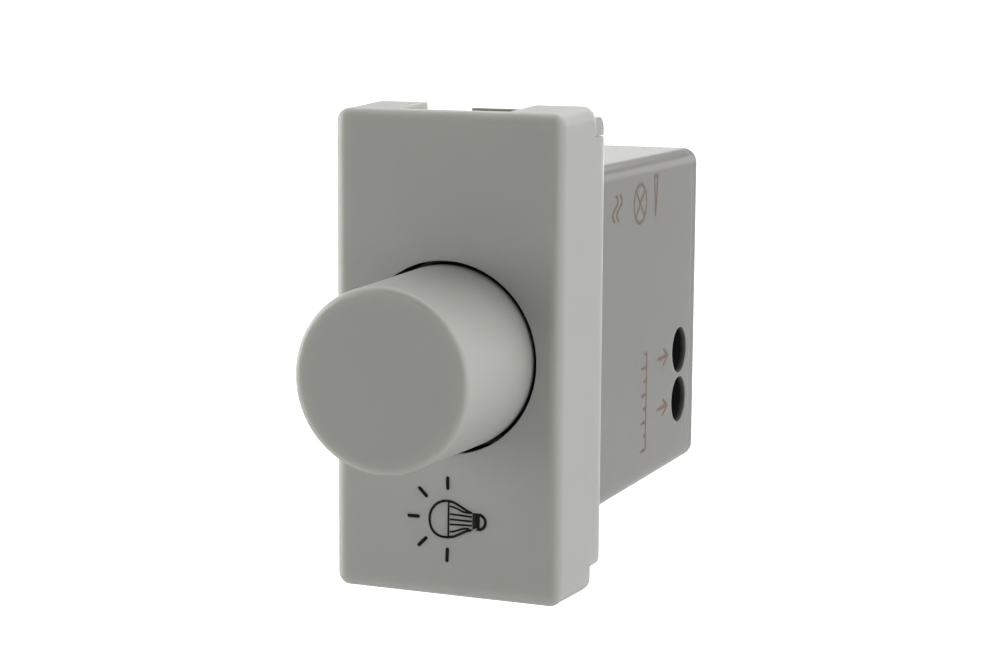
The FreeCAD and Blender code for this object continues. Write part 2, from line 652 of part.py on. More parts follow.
def switch_case():
    case = box(-SWITCH_HALF_X, SWITCH_HALF_X, SWITCH_FRONT_Y, SWITCH_BASE_Y, -SWITCH_HALF_Z, SWITCH_HALF_Z)
    inner_x = SWITCH_HALF_X - SWITCH_WALL
    inner_z = SWITCH_HALF_Z - SWITCH_WALL
    case = case.cut(box(-inner_x, inner_x, SWITCH_CAVITY_Y, SWITCH_BASE_Y, -inner_z, inner_z))
    return case.cut(rod_y(PLUNGER_R + RUN_GAP, SWITCH_FRONT_Y, SWITCH_CAVITY_Y))


def switch_base():
    base = box(
        -SWITCH_HALF_X, SWITCH_HALF_X, SWITCH_BASE_Y, BOARD_FRONT_Y, -SWITCH_HALF_Z, SWITCH_HALF_Z
    )
    return cut_all(base, [contact_leg(side, LEAD_GAP) for side in (-1, 1)])


def switch_plunger():
    barrel = rod_y(PLUNGER_R, PLUNGER_FRONT_Y, PLUNGER_FLANGE_Y)
    flange = rod_y(PLUNGER_FLANGE_R, PLUNGER_FLANGE_Y, PLUNGER_FLANGE_BACK_Y)
    stem = rod_y(STEM_R, PLUNGER_FLANGE_BACK_Y, PLUNGER_FLANGE_BACK_Y + STEM_LENGTH)
    body = join_all(barrel, [flange, stem])
    return body.cut(rod_y(SHAFT_TIP_R + RUN_GAP, PLUNGER_FRONT_Y, PLUNGER_FLOOR_Y))


def switch_bridge():
    """The moving contact: a strip behind the plunger's flange, with a hole for the spring."""
    y0 = PLUNGER_FLANGE_BACK_Y
    y1 = y0 + BRIDGE_THICKNESS
    ring = rod_y(PLUNGER_FLANGE_R, y0, y1)
    strip = box(-BRIDGE_HALF_LENGTH, BRIDGE_HALF_LENGTH, y0, y1, -BRIDGE_HALF_WIDTH, BRIDGE_HALF_WIDTH)
    return join_all(ring, [strip]).cut(rod_y(BRIDGE_HOLE_R, y0, y1))


def contact_leg(side, grow):
    outer = BRIDGE_HALF_LENGTH + CONTACT_THICKNESS / 2
    x0 = outer - CONTACT_THICKNESS - grow
    x1 = outer + grow
    half = CONTACT_PAD_HALF_WIDTH / 2 + grow
    leg = box(x0, x1, CONTACT_FRONT_Y, LEAD_BACK_Y, -half, half)
    return leg if side > 0 else leg.mirror(point(0, 0, 0), ALONG_X)


def switch_fixed_contacts():
    contacts = []
    outer = BRIDGE_HALF_LENGTH + CONTACT_THICKNESS / 2
    for side in (-1, 1):
        pad = box(
            outer - CONTACT_PAD_LENGTH, outer, CONTACT_FRONT_Y, CONTACT_FRONT_Y + CONTACT_THICKNESS,
            -CONTACT_PAD_HALF_WIDTH, CONTACT_PAD_HALF_WIDTH,
        )
        if side < 0:
            pad = pad.mirror(point(0, 0, 0), ALONG_X)
        contacts.append(join_all(pad, [contact_leg(side, 0.0)]))
    return Part.Compound(contacts)


def arc_leaving(start, tangent, end):
    """The arc from start to end that leaves start along the tangent."""
    chord = end - start
    along = FreeCAD.Vector(chord).normalize()
    turn = along.getAngle(tangent)
    side = (tangent - along * tangent.dot(along)).normalize()
    middle = (start + end) / 2 + side * (chord.Length / 2 * math.tan(turn / 2))
    return Part.Arc(start, middle, end).toShape()


def tangent_arcs(start, tangent_0, end, tangent_1):
    """Two arcs from start to end that meet each other and both tangents smoothly."""
    gap = end - start
    a = 2 * (tangent_0.dot(tangent_1) - 1)
    b = -2 * gap.dot(tangent_0 + tangent_1)
    reach = (-b - math.sqrt(b * b - 4 * a * gap.dot(gap))) / (2 * a)
    joint = (start + tangent_0 * reach + end - tangent_1 * reach) / 2
    first = arc_leaving(start, tangent_0, joint)
    second = arc_leaving(end, tangent_1 * -1, joint)
    return [first, second]


def return_spring():
    """A wire helix between the plunger's flange and the switch's base, in quarter turns."""
    y0 = PLUNGER_FLANGE_BACK_Y + SPRING_WIRE_R + RUN_GAP
    rise = SWITCH_BASE_Y - SPRING_WIRE_R - RUN_GAP - y0
    steps = SPRING_TURNS * QUARTERS
    slope = rise / (2 * math.pi * SPRING_TURNS)

    def place(angle):
        return point(SPRING_R * math.cos(angle), y0 + slope * angle, SPRING_R * math.sin(angle))

    def heading(angle):
        return point(-SPRING_R * math.sin(angle), slope, SPRING_R * math.cos(angle)).normalize()

    edges = []
    for i in range(steps):
        a0 = 2 * math.pi * i / QUARTERS
        a1 = 2 * math.pi * (i + 1) / QUARTERS
        edges += tangent_arcs(place(a0), heading(a0), place(a1), heading(a1))
    section = Part.Wire(Part.makeCircle(SPRING_WIRE_R, place(0), heading(0)))
    return Part.Wire(Part.__sortEdges__(edges)).makePipeShell([section], True, False)


def body_blank(y0, y1):
    return rounded_box(-BODY_HALF_W, BODY_HALF_W, y0, y1, BODY_BOTTOM_Z, BODY_TOP_Z, BODY_EDGE_R)


def snap_hook():
    """The tongue above the body that holds the support frame against the cover's ledge."""
    root_z = FLANGE_HALF_H - HOOK_ROOT_INSET - HOOK_ARM_THICKNESS
    tip_z = COVER_HALF_H - HOOK_TIP_INSET
    outline = [
        (BODY_FRONT_Y - FLANGE_THICKNESS, root_z),
        (HOOK_BACK_Y, root_z),
        (HOOK_BACK_Y, tip_z - HOOK_LEAD_IN),
        (HOOK_BACK_Y - HOOK_LEAD_IN, tip_z),
        (HOOK_SEAT_Y, tip_z),
        (HOOK_SEAT_Y, root_z + HOOK_ARM_THICKNESS),
        (BODY_FRONT_Y - FLANGE_THICKNESS, root_z + HOOK_ARM_THICKNESS),
    ]
    return prism_x(outline, -HOOK_WIDTH / 2, HOOK_WIDTH / 2)


def board_posts():
    posts = []
    for x0 in (-BODY_INNER_HALF_W, BODY_INNER_HALF_W - POST_SIZE):
        for z0 in (BODY_INNER_BOTTOM_Z, BODY_INNER_TOP_Z - POST_SIZE):
            posts.append(box(x0, x0 + POST_SIZE, BODY_CAVITY_Y, BOARD_FRONT_Y, z0, z0 + POST_SIZE))
    return posts


def lid_leg_places():
    """Where the lid's four legs lie, as (X, Z of the wall beside it, direction inwards)."""
    walls = [(BODY_INNER_TOP_Z, -1), (BODY_INNER_BOTTOM_Z, 1)]
    return [(x, wall_z, inward) for x in (-LID_LEG_X, LID_LEG_X) for wall_z, inward in walls]


def beside_wall(x, half, y0, y1, wall_z, outer, inner):
    """A box between two distances inwards of a wall, which are signed by its direction."""
    low, high = sorted((wall_z + outer, wall_z + inner))
    return box(x - half, x + half, y0, y1, low, high)


def lid_leg(x, wall_z, inward):
    y0 = LID_FRONT_Y - LID_LEG_LENGTH
    inner = inward * (SLIP_GAP + LID_LEG_THICKNESS)
    return beside_wall(x, LID_LEG_WIDTH / 2, y0, LID_FRONT_Y, wall_z, inward * SLIP_GAP, inner)


def barb(x, wall_z, inward, grow):
    """The step on a lid leg's outer side, which snaps into a groove of the wall."""
    half = LID_LEG_WIDTH / 2 + grow
    y0 = LID_FRONT_Y - LID_LEG_LENGTH - grow
    y1 = y0 + LID_BARB_LENGTH + 2 * grow
    outer = inward * (SLIP_GAP - LID_BARB - grow)
    return beside_wall(x, half, y0, y1, wall_z, outer, inward * LID_LEG_THICKNESS)


def rear_housing():
    body = body_blank(BODY_FRONT_Y, LID_FRONT_Y)
    body = body.cut(
        box(
            -BODY_INNER_HALF_W, BODY_INNER_HALF_W, BODY_CAVITY_Y, FAR,
            BODY_INNER_BOTTOM_Z, BODY_INNER_TOP_Z,
        )
    )
    flange = box(
        -FLANGE_HALF_W, FLANGE_HALF_W, BODY_FRONT_Y - FLANGE_THICKNESS, BODY_FRONT_Y,
        -FLANGE_HALF_H, FLANGE_HALF_H,
    )
    rim = box(
        -FLANGE_HALF_W, FLANGE_HALF_W, BODY_FRONT_Y - FLANGE_THICKNESS, BODY_FRONT_Y + FLANGE_THICKNESS / 2,
        BODY_INNER_BOTTOM_Z, BODY_INNER_TOP_Z,
    )
    body = join_all(body, [flange, rim, snap_hook(), mirror_z(snap_hook())] + board_posts())
    window = box(-WINDOW_HALF, WINDOW_HALF, -FAR, BODY_CAVITY_Y, -WINDOW_HALF, WINDOW_HALF)
    body = body.cut(window)
    body = cut_all(body, [barb(*place, SLIP_GAP) for place in lid_leg_places()])
    holes = [rod_x(DRIVER_HOLE_R, BODY_INNER_HALF_W, BODY_HALF_W, TERMINAL_Y, z) for z in TERMINAL_Z]
    return cut_all(body, holes)


def rear_lid():
    """The plate over the wiring end, with its rear edges rounded and two wire holes."""
    plate = box(-BODY_HALF_W, BODY_HALF_W, LID_FRONT_Y, BODY_REAR_Y, BODY_BOTTOM_Z, BODY_TOP_Z)
    front = edges_on(plate, lambda p: near(p.y, LID_FRONT_Y))
    rounded = [edge for edge in plate.Edges if not any(edge.isSame(other) for other in front)]
    plate = plate.makeFillet(BODY_EDGE_R, rounded)
    plate = plate.makeChamfer(SEAM_CHAMFER, edges_on(plate, lambda p: near(p.y, LID_FRONT_Y)))
    legs = [lid_leg(*place) for place in lid_leg_places()]
    barbs = [barb(*place, 0.0) for place in lid_leg_places()]
    plate = join_all(plate, legs + barbs)
    return cut_all(plate, [rod_y(WIRE_HOLE_R, LID_FRONT_Y, BODY_REAR_Y, WIRE_X, z) for z in TERMINAL_Z])


def terminal_block():
    block = box(BLOCK_LEFT_X, BLOCK_RIGHT_X, BLOCK_FRONT_Y, BLOCK_BACK_Y, BLOCK_BOTTOM_Z, BLOCK_TOP_Z)
    feet = []
    for x0 in (BLOCK_LEFT_X, BLOCK_RIGHT_X - BLOCK_FOOT):
        for z0 in (BLOCK_BOTTOM_Z, BLOCK_TOP_Z - BLOCK_FOOT):
            feet.append(box(x0, x0 + BLOCK_FOOT, BOARD_BACK_Y, BLOCK_FRONT_Y, z0, z0 + BLOCK_FOOT))
    block = join_all(block, feet)
    tools = []
    for z in TERMINAL_Z:
        tools.append(
            box(
                CHAMBER_LEFT_X, SHOULDER_X, CHAMBER_FRONT_Y, CHAMBER_BACK_Y,
                z - CHAMBER_HALF_WIDTH, z + CHAMBER_HALF_WIDTH,
            )
        )
        tools.append(rod_x(WELL_R, HEAD_INNER_X, BLOCK_RIGHT_X, TERMINAL_Y, z))
        tools.append(rod_x(SHANK_R + RUN_GAP, SHOULDER_X, HEAD_INNER_X, TERMINAL_Y, z))
        tools.append(rod_y(WIRE_HOLE_R, CHAMBER_BACK_Y, BLOCK_BACK_Y, WIRE_X, z))
        tools.append(
            box(
                BAR_BOTTOM_X - SLIP_GAP, BAR_TOP_X + SLIP_GAP, BLOCK_FRONT_Y, CHAMBER_FRONT_Y,
                z - BAR_HALF_WIDTH - SLIP_GAP, z + BAR_HALF_WIDTH + SLIP_GAP,
            )
        )
    return cut_all(block, tools)


def contact_bar(z):
    y1 = TERMINAL_Y + CAGE_HALF_DEPTH
    blade = box(BAR_BOTTOM_X, BAR_TOP_X, BLOCK_FRONT_Y, y1, z - BAR_HALF_WIDTH, z + BAR_HALF_WIDTH)
    return join_all(blade, [bar_tail(z, 0.0)])


def bar_tail(z, grow):
    return box(
        BAR_BOTTOM_X - grow, BAR_TOP_X + grow, BOARD_FRONT_Y, BLOCK_FRONT_Y,
        z - TAIL_HALF_WIDTH - grow, z + TAIL_HALF_WIDTH + grow,
    )


def terminal_cage(z):
    y0 = TERMINAL_Y - CAGE_HALF_DEPTH
    y1 = TERMINAL_Y + CAGE_HALF_DEPTH
    inner = CAGE_HALF_WIDTH - CAGE_SIDE
    cage = box(CAGE_BOTTOM_X, CAGE_TOP_X, y0, y1, z - CAGE_HALF_WIDTH, z + CAGE_HALF_WIDTH)
    cage = cage.cut(box(CAGE_FLOOR_X, CAGE_ROOF_X, y0, y1, z - inner, z + inner))
    return cage.cut(rod_x(SHANK_R + RUN_GAP, CAGE_ROOF_X, CAGE_TOP_X, TERMINAL_Y, z))


def terminal_screw(z):
    head = rod_x(HEAD_R, HEAD_INNER_X + PRESS_GAP, HEAD_OUTER_X, TERMINAL_Y, z)
    head = head.cut(
        box(
            HEAD_OUTER_X - SLOT_DEPTH, HEAD_OUTER_X, TERMINAL_Y - HEAD_R, TERMINAL_Y + HEAD_R,
            z - SLOT_WIDTH / 2, z + SLOT_WIDTH / 2,
        )
    )
    shank = rod_x(SHANK_R, BAR_TOP_X + RUN_GAP, HEAD_INNER_X + PRESS_GAP, TERMINAL_Y, z)
    return join_all(head, [shank])


def lead(x, z, y_back, grow=0.0):
    return rod_y(LEAD_R + grow, BOARD_FRONT_Y, y_back, x, z)


def lead_places():
    """Where the wire leads of the components behind the board pass through it, as (X, Z)."""
    places = [(FILM_X, FILM_Z - FILM_LEAD_SPAN / 2), (FILM_X, FILM_Z + FILM_LEAD_SPAN / 2)]
    places += [(CHOKE_X - CHOKE_PIN_OFFSET, CHOKE_Z), (CHOKE_X + CHOKE_PIN_OFFSET, CHOKE_Z)]
    places += [(SIDE_BAY_X - CAN_LEAD_SPAN / 2, CAN_Z), (SIDE_BAY_X + CAN_LEAD_SPAN / 2, CAN_Z)]
    places += [(SIDE_BAY_X, VARISTOR_Z + side * VARISTOR_LEAD_SPAN / 2) for side in (-1, 1)]
    places += fuse_lead_places()
    for z in TRANSISTOR_Z:
        places += [(TRANSISTOR_MID_X, z + k * TRANSISTOR_LEG_PITCH) for k in (-1, 0, 1)]
    return places


def circuit_board():
    board = box(-BOARD_HALF_W, BOARD_HALF_W, BOARD_FRONT_Y, BOARD_BACK_Y, BOARD_BOTTOM_Z, BOARD_TOP_Z)
    holes = [lead(x, z, LEAD_BACK_Y, LEAD_GAP) for x, z in lead_places()]
    holes += [pot_pin(x, LEAD_GAP) for x in pot_pin_places()]
    holes += [contact_leg(side, LEAD_GAP) for side in (-1, 1)]
    holes += [bar_tail(z, LEAD_GAP) for z in TERMINAL_Z]
    return cut_all(board, holes)


def insulating_sheet():
    return box(
        -BOARD_HALF_W, BOARD_HALF_W, BOARD_BACK_Y, LID_FRONT_Y, SHEET_TOP_Z - SHEET_THICKNESS, SHEET_TOP_Z
    )


def heat_sink():
    return box(
        -BODY_INNER_HALF_W, SINK_INNER_X, COMPONENT_Y, LID_FRONT_Y - SLIP_GAP, SINK_BOTTOM_Z, SINK_TOP_Z
    )


def thermal_pad():
    return box(
        SINK_INNER_X, PAD_X, COMPONENT_Y + PAD_MARGIN, LID_FRONT_Y - SLIP_GAP - PAD_MARGIN,
        SINK_BOTTOM_Z + PAD_MARGIN / 2, SINK_TOP_Z - PAD_MARGIN / 2,
    )


def power_transistors():
    bodies = []
    for z in TRANSISTOR_Z:
        y1 = TRANSISTOR_FRONT_Y + TRANSISTOR_LENGTH
        half = TRANSISTOR_WIDTH / 2
        case = box(PAD_X, TRANSISTOR_X, TRANSISTOR_FRONT_Y, y1, z - half, z + half)
        legs = [
            lead(TRANSISTOR_MID_X, z + k * TRANSISTOR_LEG_PITCH, TRANSISTOR_FRONT_Y) for k in (-1, 0, 1)
        ]
        bodies.append(join_all(case, legs))
    return Part.Compound(bodies)


def choke_core():
    y0 = COMPONENT_Y
    y1 = COMPONENT_Y + CHOKE_LENGTH
    spool = rod_y(CHOKE_CORE_R, y0, y1, CHOKE_X, CHOKE_Z)
    flanges = [
        rod_y(CHOKE_R, y0, y0 + CHOKE_FLANGE, CHOKE_X, CHOKE_Z),
        rod_y(CHOKE_R, y1 - CHOKE_FLANGE, y1, CHOKE_X, CHOKE_Z),
    ]
    pins = [lead(CHOKE_X + side * CHOKE_PIN_OFFSET, CHOKE_Z, y0) for side in (-1, 1)]
    return join_all(spool, flanges + pins)


def choke_winding():
    y0 = COMPONENT_Y + CHOKE_FLANGE
    y1 = COMPONENT_Y + CHOKE_LENGTH - CHOKE_FLANGE
    outer = rod_y(CHOKE_WINDING_R, y0, y1, CHOKE_X, CHOKE_Z)
    return outer.cut(rod_y(CHOKE_CORE_R + PRESS_GAP, y0, y1, CHOKE_X, CHOKE_Z))


def film_capacitor():
    half = FILM_THICKNESS / 2
    case = box(
        FILM_X - half, FILM_X + half, COMPONENT_Y, COMPONENT_Y + FILM_HEIGHT,
        FILM_Z - FILM_WIDTH / 2, FILM_Z + FILM_WIDTH / 2,
    )
    leads = [lead(FILM_X, FILM_Z + side * FILM_LEAD_SPAN / 2, COMPONENT_Y) for side in (-1, 1)]
    return join_all(case, leads)


def electrolytic_capacitor():
    can = rod_y(CAN_R, COMPONENT_Y, COMPONENT_Y + CAN_HEIGHT, SIDE_BAY_X, CAN_Z)
    leads = [lead(SIDE_BAY_X + side * CAN_LEAD_SPAN / 2, CAN_Z, COMPONENT_Y) for side in (-1, 1)]
    return join_all(can, leads)


def varistor():
    half = VARISTOR_THICKNESS / 2
    y = COMPONENT_Y + VARISTOR_R
    disc = rod_x(VARISTOR_R, SIDE_BAY_X - half, SIDE_BAY_X + half, y, VARISTOR_Z)
    leads = [lead(SIDE_BAY_X, VARISTOR_Z + side * VARISTOR_LEAD_SPAN / 2, y) for side in (-1, 1)]
    return join_all(disc, leads)


def fuse_lead_places():
    reach = FUSE_LENGTH / 2 + FUSE_LEAD_OUT
    return [(FUSE_X - reach, TERMINAL_MID_Z), (FUSE_X + reach, TERMINAL_MID_Z)]


def fuse():
    left, right = [x for x, z in fuse_lead_places()]
    half = FUSE_LENGTH / 2
    body = rod_x(FUSE_R, FUSE_X - half, FUSE_X + half, FUSE_Y, TERMINAL_MID_Z)
    wire = rod_x(LEAD_R, left, right, FUSE_Y, TERMINAL_MID_Z)
    legs = [lead(x, TERMINAL_MID_Z, FUSE_Y) for x in (left, right)]
    bends = [Part.makeSphere(LEAD_R, point(x, FUSE_Y, TERMINAL_MID_Z)) for x in (left, right)]
    return join_all(body, [wire] + legs + bends)


def controller_chip():
    body = box(
        -CHIP_WIDTH / 2, CHIP_WIDTH / 2, BOARD_FRONT_Y - CHIP_THICKNESS, BOARD_FRONT_Y,
        CHIP_Z - CHIP_HEIGHT / 2, CHIP_Z + CHIP_HEIGHT / 2,
    )
    legs = []
    reach = CHIP_HEIGHT / 2 + CHIP_LEG_REACH
    for i in range(CHIP_LEG_COUNT):
        x = (i - (CHIP_LEG_COUNT - 1) / 2) * CHIP_LEG_PITCH
        half = CHIP_LEG_WIDTH / 2
        legs.append(box(x - half, x + half, BOARD_FRONT_Y - CHIP_LEG_WIDTH, BOARD_FRONT_Y,
                        CHIP_Z - reach, CHIP_Z + reach))
    return join_all(body, legs)


def bridge_rectifier():
    return box(
        -RECTIFIER_WIDTH / 2, RECTIFIER_WIDTH / 2, BOARD_FRONT_Y - RECTIFIER_THICKNESS, BOARD_FRONT_Y,
        RECTIFIER_Z - RECTIFIER_HEIGHT / 2, RECTIFIER_Z + RECTIFIER_HEIGHT / 2,
    )


def chip_resistors():
    chips = []
    for i in range(RESISTOR_COUNT):
        z = (i - (RESISTOR_COUNT - 1) / 2) * RESISTOR_PITCH
        chips.append(
            box(
                RESISTOR_X - RESISTOR_LENGTH / 2, RESISTOR_X + RESISTOR_LENGTH / 2,
                BOARD_FRONT_Y - RESISTOR_THICKNESS, BOARD_FRONT_Y,
                z - RESISTOR_WIDTH / 2, z + RESISTOR_WIDTH / 2,
            )
        )
    return Part.Compound(chips)


PIECES = {
    "front_cover": front_cover(),
    "knob": knob(),
    "knob_spring_clip": knob_spring_clip(),
    "shaft": shaft(),
    "shaft_retaining_ring": shaft_retaining_ring(),
    "inner_frame": inner_frame(),
    "pot_bushing": pot_bushing(),
    "pot_lock_washer": pot_lock_washer(),
    "pot_nut": pot_nut(),
    "pot_case": pot_case(),
    "pot_base": pot_base(),
    "pot_track": pot_track(),
    "pot_rotor": pot_rotor(),
    "pot_wiper": pot_wiper(),
    "pot_pins": pot_pins(),
    "switch_case": switch_case(),
    "switch_base": switch_base(),
    "switch_plunger": switch_plunger(),
    "switch_bridge": switch_bridge(),
    "switch_fixed_contacts": switch_fixed_contacts(),
    "return_spring": return_spring(),
    "rear_housing": rear_housing(),
    "rear_lid": rear_lid(),
    "terminal_block": terminal_block(),
    "circuit_board": circuit_board(),
    "insulating_sheet": insulating_sheet(),
    "heat_sink": heat_sink(),
    "thermal_pad": thermal_pad(),
    "power_transistors": power_transistors(),
    "choke_core": choke_core(),
    "choke_winding": choke_winding(),
    "film_capacitor": film_capacitor(),
    "electrolytic_capacitor": electrolytic_capacitor(),
    "varistor": varistor(),
    "fuse": fuse(),
    "controller_chip": controller_chip(),
    "bridge_rectifier": bridge_rectifier(),
    "chip_resistors": chip_resistors(),
}
for number, terminal_z in enumerate(TERMINAL_Z, start=1):
    PIECES[f"contact_bar_{number}"] = contact_bar(terminal_z)
    PIECES[f"terminal_cage_{number}"] = terminal_cage(terminal_z)
    PIECES[f"terminal_screw_{number}"] = terminal_screw(terminal_z)

os.makedirs("parts", exist_ok=True)
for name, shape in PIECES.items():
    shape.exportStep(f"parts/{name}.step")
    print(f"{name}: valid {shape.isValid()}, {len(shape.Solids)} solid(s), {shape.Volume:.2f} mm3")
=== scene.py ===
import json

import bmesh
import bpy
import numpy as np
from mathutils import Matrix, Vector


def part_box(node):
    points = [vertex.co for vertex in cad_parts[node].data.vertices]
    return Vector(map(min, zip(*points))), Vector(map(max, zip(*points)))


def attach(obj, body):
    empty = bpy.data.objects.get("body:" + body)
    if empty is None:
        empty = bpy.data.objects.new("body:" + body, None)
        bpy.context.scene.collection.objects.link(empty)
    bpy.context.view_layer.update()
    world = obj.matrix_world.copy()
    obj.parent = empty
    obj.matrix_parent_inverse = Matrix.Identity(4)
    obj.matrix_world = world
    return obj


bl_info = {
    "name": "Rotary Dimmer",
    "version": (1, 0, 0),
    "blender": (4, 5, 0),
    "location": "3D View > Sidebar > Dimmer",
    "description": "Finishes, printed marks and studio of a one-module rotary dimmer",
    "category": "Object",
}

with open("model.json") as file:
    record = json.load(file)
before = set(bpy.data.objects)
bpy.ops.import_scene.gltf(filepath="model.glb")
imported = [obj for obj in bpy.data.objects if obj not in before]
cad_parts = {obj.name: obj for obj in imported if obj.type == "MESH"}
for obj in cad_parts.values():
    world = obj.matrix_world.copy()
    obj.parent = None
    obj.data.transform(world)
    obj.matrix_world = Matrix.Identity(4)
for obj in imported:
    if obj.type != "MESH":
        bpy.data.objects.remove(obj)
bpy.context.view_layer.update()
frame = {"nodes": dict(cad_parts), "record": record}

MM = 0.001
FACE_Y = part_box("front_cover")[0].y
BODY_SIDE_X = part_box("rear_housing")[1].x

# Terminal screws, in millimetres
SCREW_Y = 28.0
SCREW_Z = (-3.8, -9.0)


# Property groups

class CoverSettings(bpy.types.PropertyGroup):
    """Colour and gloss of the cover and the knob."""
    colour: bpy.props.FloatVectorProperty(
        name="Colour", description="Colour of the cover's plastic", subtype="COLOR", size=4,
        min=0.0, max=1.0, default=(0.535, 0.54, 0.508, 1.0))
    knob_colour: bpy.props.FloatVectorProperty(
        name="Knob colour", description="Colour of the knob's plastic", subtype="COLOR", size=4,
        min=0.0, max=1.0, default=(0.535, 0.54, 0.508, 1.0))
    roughness: bpy.props.FloatProperty(
        name="Roughness", description="Roughness of the satin plastic", subtype="FACTOR",
        min=0.0, max=1.0, default=0.4)
    shine: bpy.props.FloatProperty(
        name="Shine", description="Strength of the satin plastic's reflections", subtype="FACTOR",
        min=0.0, max=1.0, default=0.6)
    depth: bpy.props.FloatProperty(
        name="Light depth", description="How far light spreads inside the plastic", unit="LENGTH",
        default=2.0 * MM)


class BodySettings(bpy.types.PropertyGroup):
    """Colour and gloss of the rear housing and its lid."""
    colour: bpy.props.FloatVectorProperty(
        name="Colour", description="Colour of the housing's plastic", subtype="COLOR", size=4,
        min=0.0, max=1.0, default=(0.30, 0.298, 0.28, 1.0))
    roughness: bpy.props.FloatProperty(
        name="Roughness", description="Roughness of the smooth plastic", subtype="FACTOR",
        min=0.0, max=1.0, default=0.17)
    depth: bpy.props.FloatProperty(
        name="Light depth", description="How far light spreads inside the plastic", unit="LENGTH",
        default=1.2 * MM)


class MarkSettings(bpy.types.PropertyGroup):
    """The lamp mark printed under the knob and the signs on the housing's side."""
    colour: bpy.props.FloatVectorProperty(
        name="Ink colour", description="Colour of the printed lamp mark", subtype="COLOR", size=4,
        min=0.0, max=1.0, default=(0.006, 0.004, 0.004, 1.0))
    side_colour: bpy.props.FloatVectorProperty(
        name="Side ink colour", description="Colour of the signs on the housing", subtype="COLOR", size=4,
        min=0.0, max=1.0, default=(0.27, 0.20, 0.15, 1.0))
    ray_width: bpy.props.FloatProperty(
        name="Ray width", description="Width of the rays", unit="LENGTH", default=0.34 * MM)
    outline_width: bpy.props.FloatProperty(
        name="Outline width", description="Width of the lamp's outline", unit="LENGTH", default=0.24 * MM)
    line_width: bpy.props.FloatProperty(
        name="Line width", description="Width of the lamp's fins", unit="LENGTH", default=0.18 * MM)
    side_width: bpy.props.FloatProperty(
        name="Side line width", description="Width of the signs' lines", unit="LENGTH", default=0.3 * MM)
    height: bpy.props.FloatProperty(
        name="Ink height", description="How far the ink stands out", unit="LENGTH", default=0.015 * MM)


class StageSettings(bpy.types.PropertyGroup):
    """Lamps, floor and surroundings."""
    floor_level: bpy.props.FloatProperty(
        name="Floor level", description="Height of the floor", unit="LENGTH", default=-0.12)
    surround: bpy.props.FloatProperty(
        name="Surround", description="Light from all round", min=0.0, default=0.06)
    backdrop: bpy.props.FloatProperty(
        name="Backdrop", description="More light from behind the part", min=0.0, default=1.62)
    left: bpy.props.FloatProperty(
        name="Left lamp", description="What that lamp adds on a face turned to it", min=0.0,
        default=0.34)
    left_front: bpy.props.FloatProperty(
        name="Left front lamp", description="What that lamp adds on a face turned to it", min=0.0,
        default=0.36)
    right: bpy.props.FloatProperty(
        name="Right lamp", description="What that lamp adds on a face turned to it", min=0.0,
        default=0.13)
    right_front: bpy.props.FloatProperty(
        name="Right front lamp", description="What that lamp adds on a face turned to it", min=0.0,
        default=0.20)
    back_top: bpy.props.FloatProperty(
        name="Back top lamp", description="What that lamp adds on a face turned to it", min=0.0,
        default=0.12)


# Shader groups

NOISE_DETAIL = 3.0
GRAIN_DETAIL = 2.0
ROLLED_STRETCH = (1.0, 0.06, 1.0)
ROLLED_SPREAD = 0.25


def new_group(name, inputs, outputs):
    """An empty shader group with (name, socket type, default) inputs and (name, socket type) outputs."""
    group = bpy.data.node_groups.new(name, "ShaderNodeTree")
    for label, kind, default in inputs:
        socket = group.interface.new_socket(label, in_out="INPUT", socket_type=kind)
        if default is not None:
            socket.default_value = default
    for label, kind in outputs:
        group.interface.new_socket(label, in_out="OUTPUT", socket_type=kind)
    return group, group.nodes.new("NodeGroupInput"), group.nodes.new("NodeGroupOutput")


def maths(tree, operation, first, second):
    """A Math node on sockets or numbers."""
    node = tree.nodes.new("ShaderNodeMath")
    node.operation = operation
    for value, socket in zip((first, second), node.inputs):
        if isinstance(value, bpy.types.NodeSocket):
            tree.links.new(value, socket)
        else:
            socket.default_value = value
    return node.outputs[0]


def mottle_group():
    """Cloudy change of a moulded surface: a colour a little lighter and darker, and its roughness."""
    group, given, out = new_group(
        "moulded_mottle",
        [("Vector", "NodeSocketVector", None), ("Colour", "NodeSocketColor", (0.5, 0.5, 0.5, 1.0)),
         ("Amount", "NodeSocketFloat", 0.03), ("Scale", "NodeSocketFloat", 250.0),
         ("Roughness", "NodeSocketFloat", 0.45)],
        [("Colour", "NodeSocketColor"), ("Roughness", "NodeSocketFloat")])
    cloud = group.nodes.new("ShaderNodeTexNoise")
    cloud.inputs["Detail"].default_value = NOISE_DETAIL
    group.links.new(given.outputs["Vector"], cloud.inputs["Vector"])
    group.links.new(given.outputs["Scale"], cloud.inputs["Scale"])
    centred = maths(group, "SUBTRACT", cloud.outputs["Fac"], 0.5)
    change = maths(group, "MULTIPLY", centred, given.outputs["Amount"])
    gain = maths(group, "ADD", change, 1.0)
    scale = group.nodes.new("ShaderNodeVectorMath")
    scale.operation = "SCALE"
    group.links.new(given.outputs["Colour"], scale.inputs[0])
    group.links.new(gain, scale.inputs["Scale"])
    group.links.new(scale.outputs["Vector"], out.inputs["Colour"])
    group.links.new(maths(group, "SUBTRACT", given.outputs["Roughness"], change), out.inputs["Roughness"])
    return group


def grain_group():
    """Fine erosion grain of a mould, as a height between 0 and 1."""
    group, given, out = new_group(
        "moulded_grain",
        [("Vector", "NodeSocketVector", None), ("Scale", "NodeSocketFloat", 9000.0)],
        [("Height", "NodeSocketFloat")])
    fine = group.nodes.new("ShaderNodeTexNoise")
    fine.inputs["Detail"].default_value = GRAIN_DETAIL
    group.links.new(given.outputs["Vector"], fine.inputs["Vector"])
    group.links.new(given.outputs["Scale"], fine.inputs["Scale"])
    group.links.new(fine.outputs["Fac"], out.inputs["Height"])
    return group


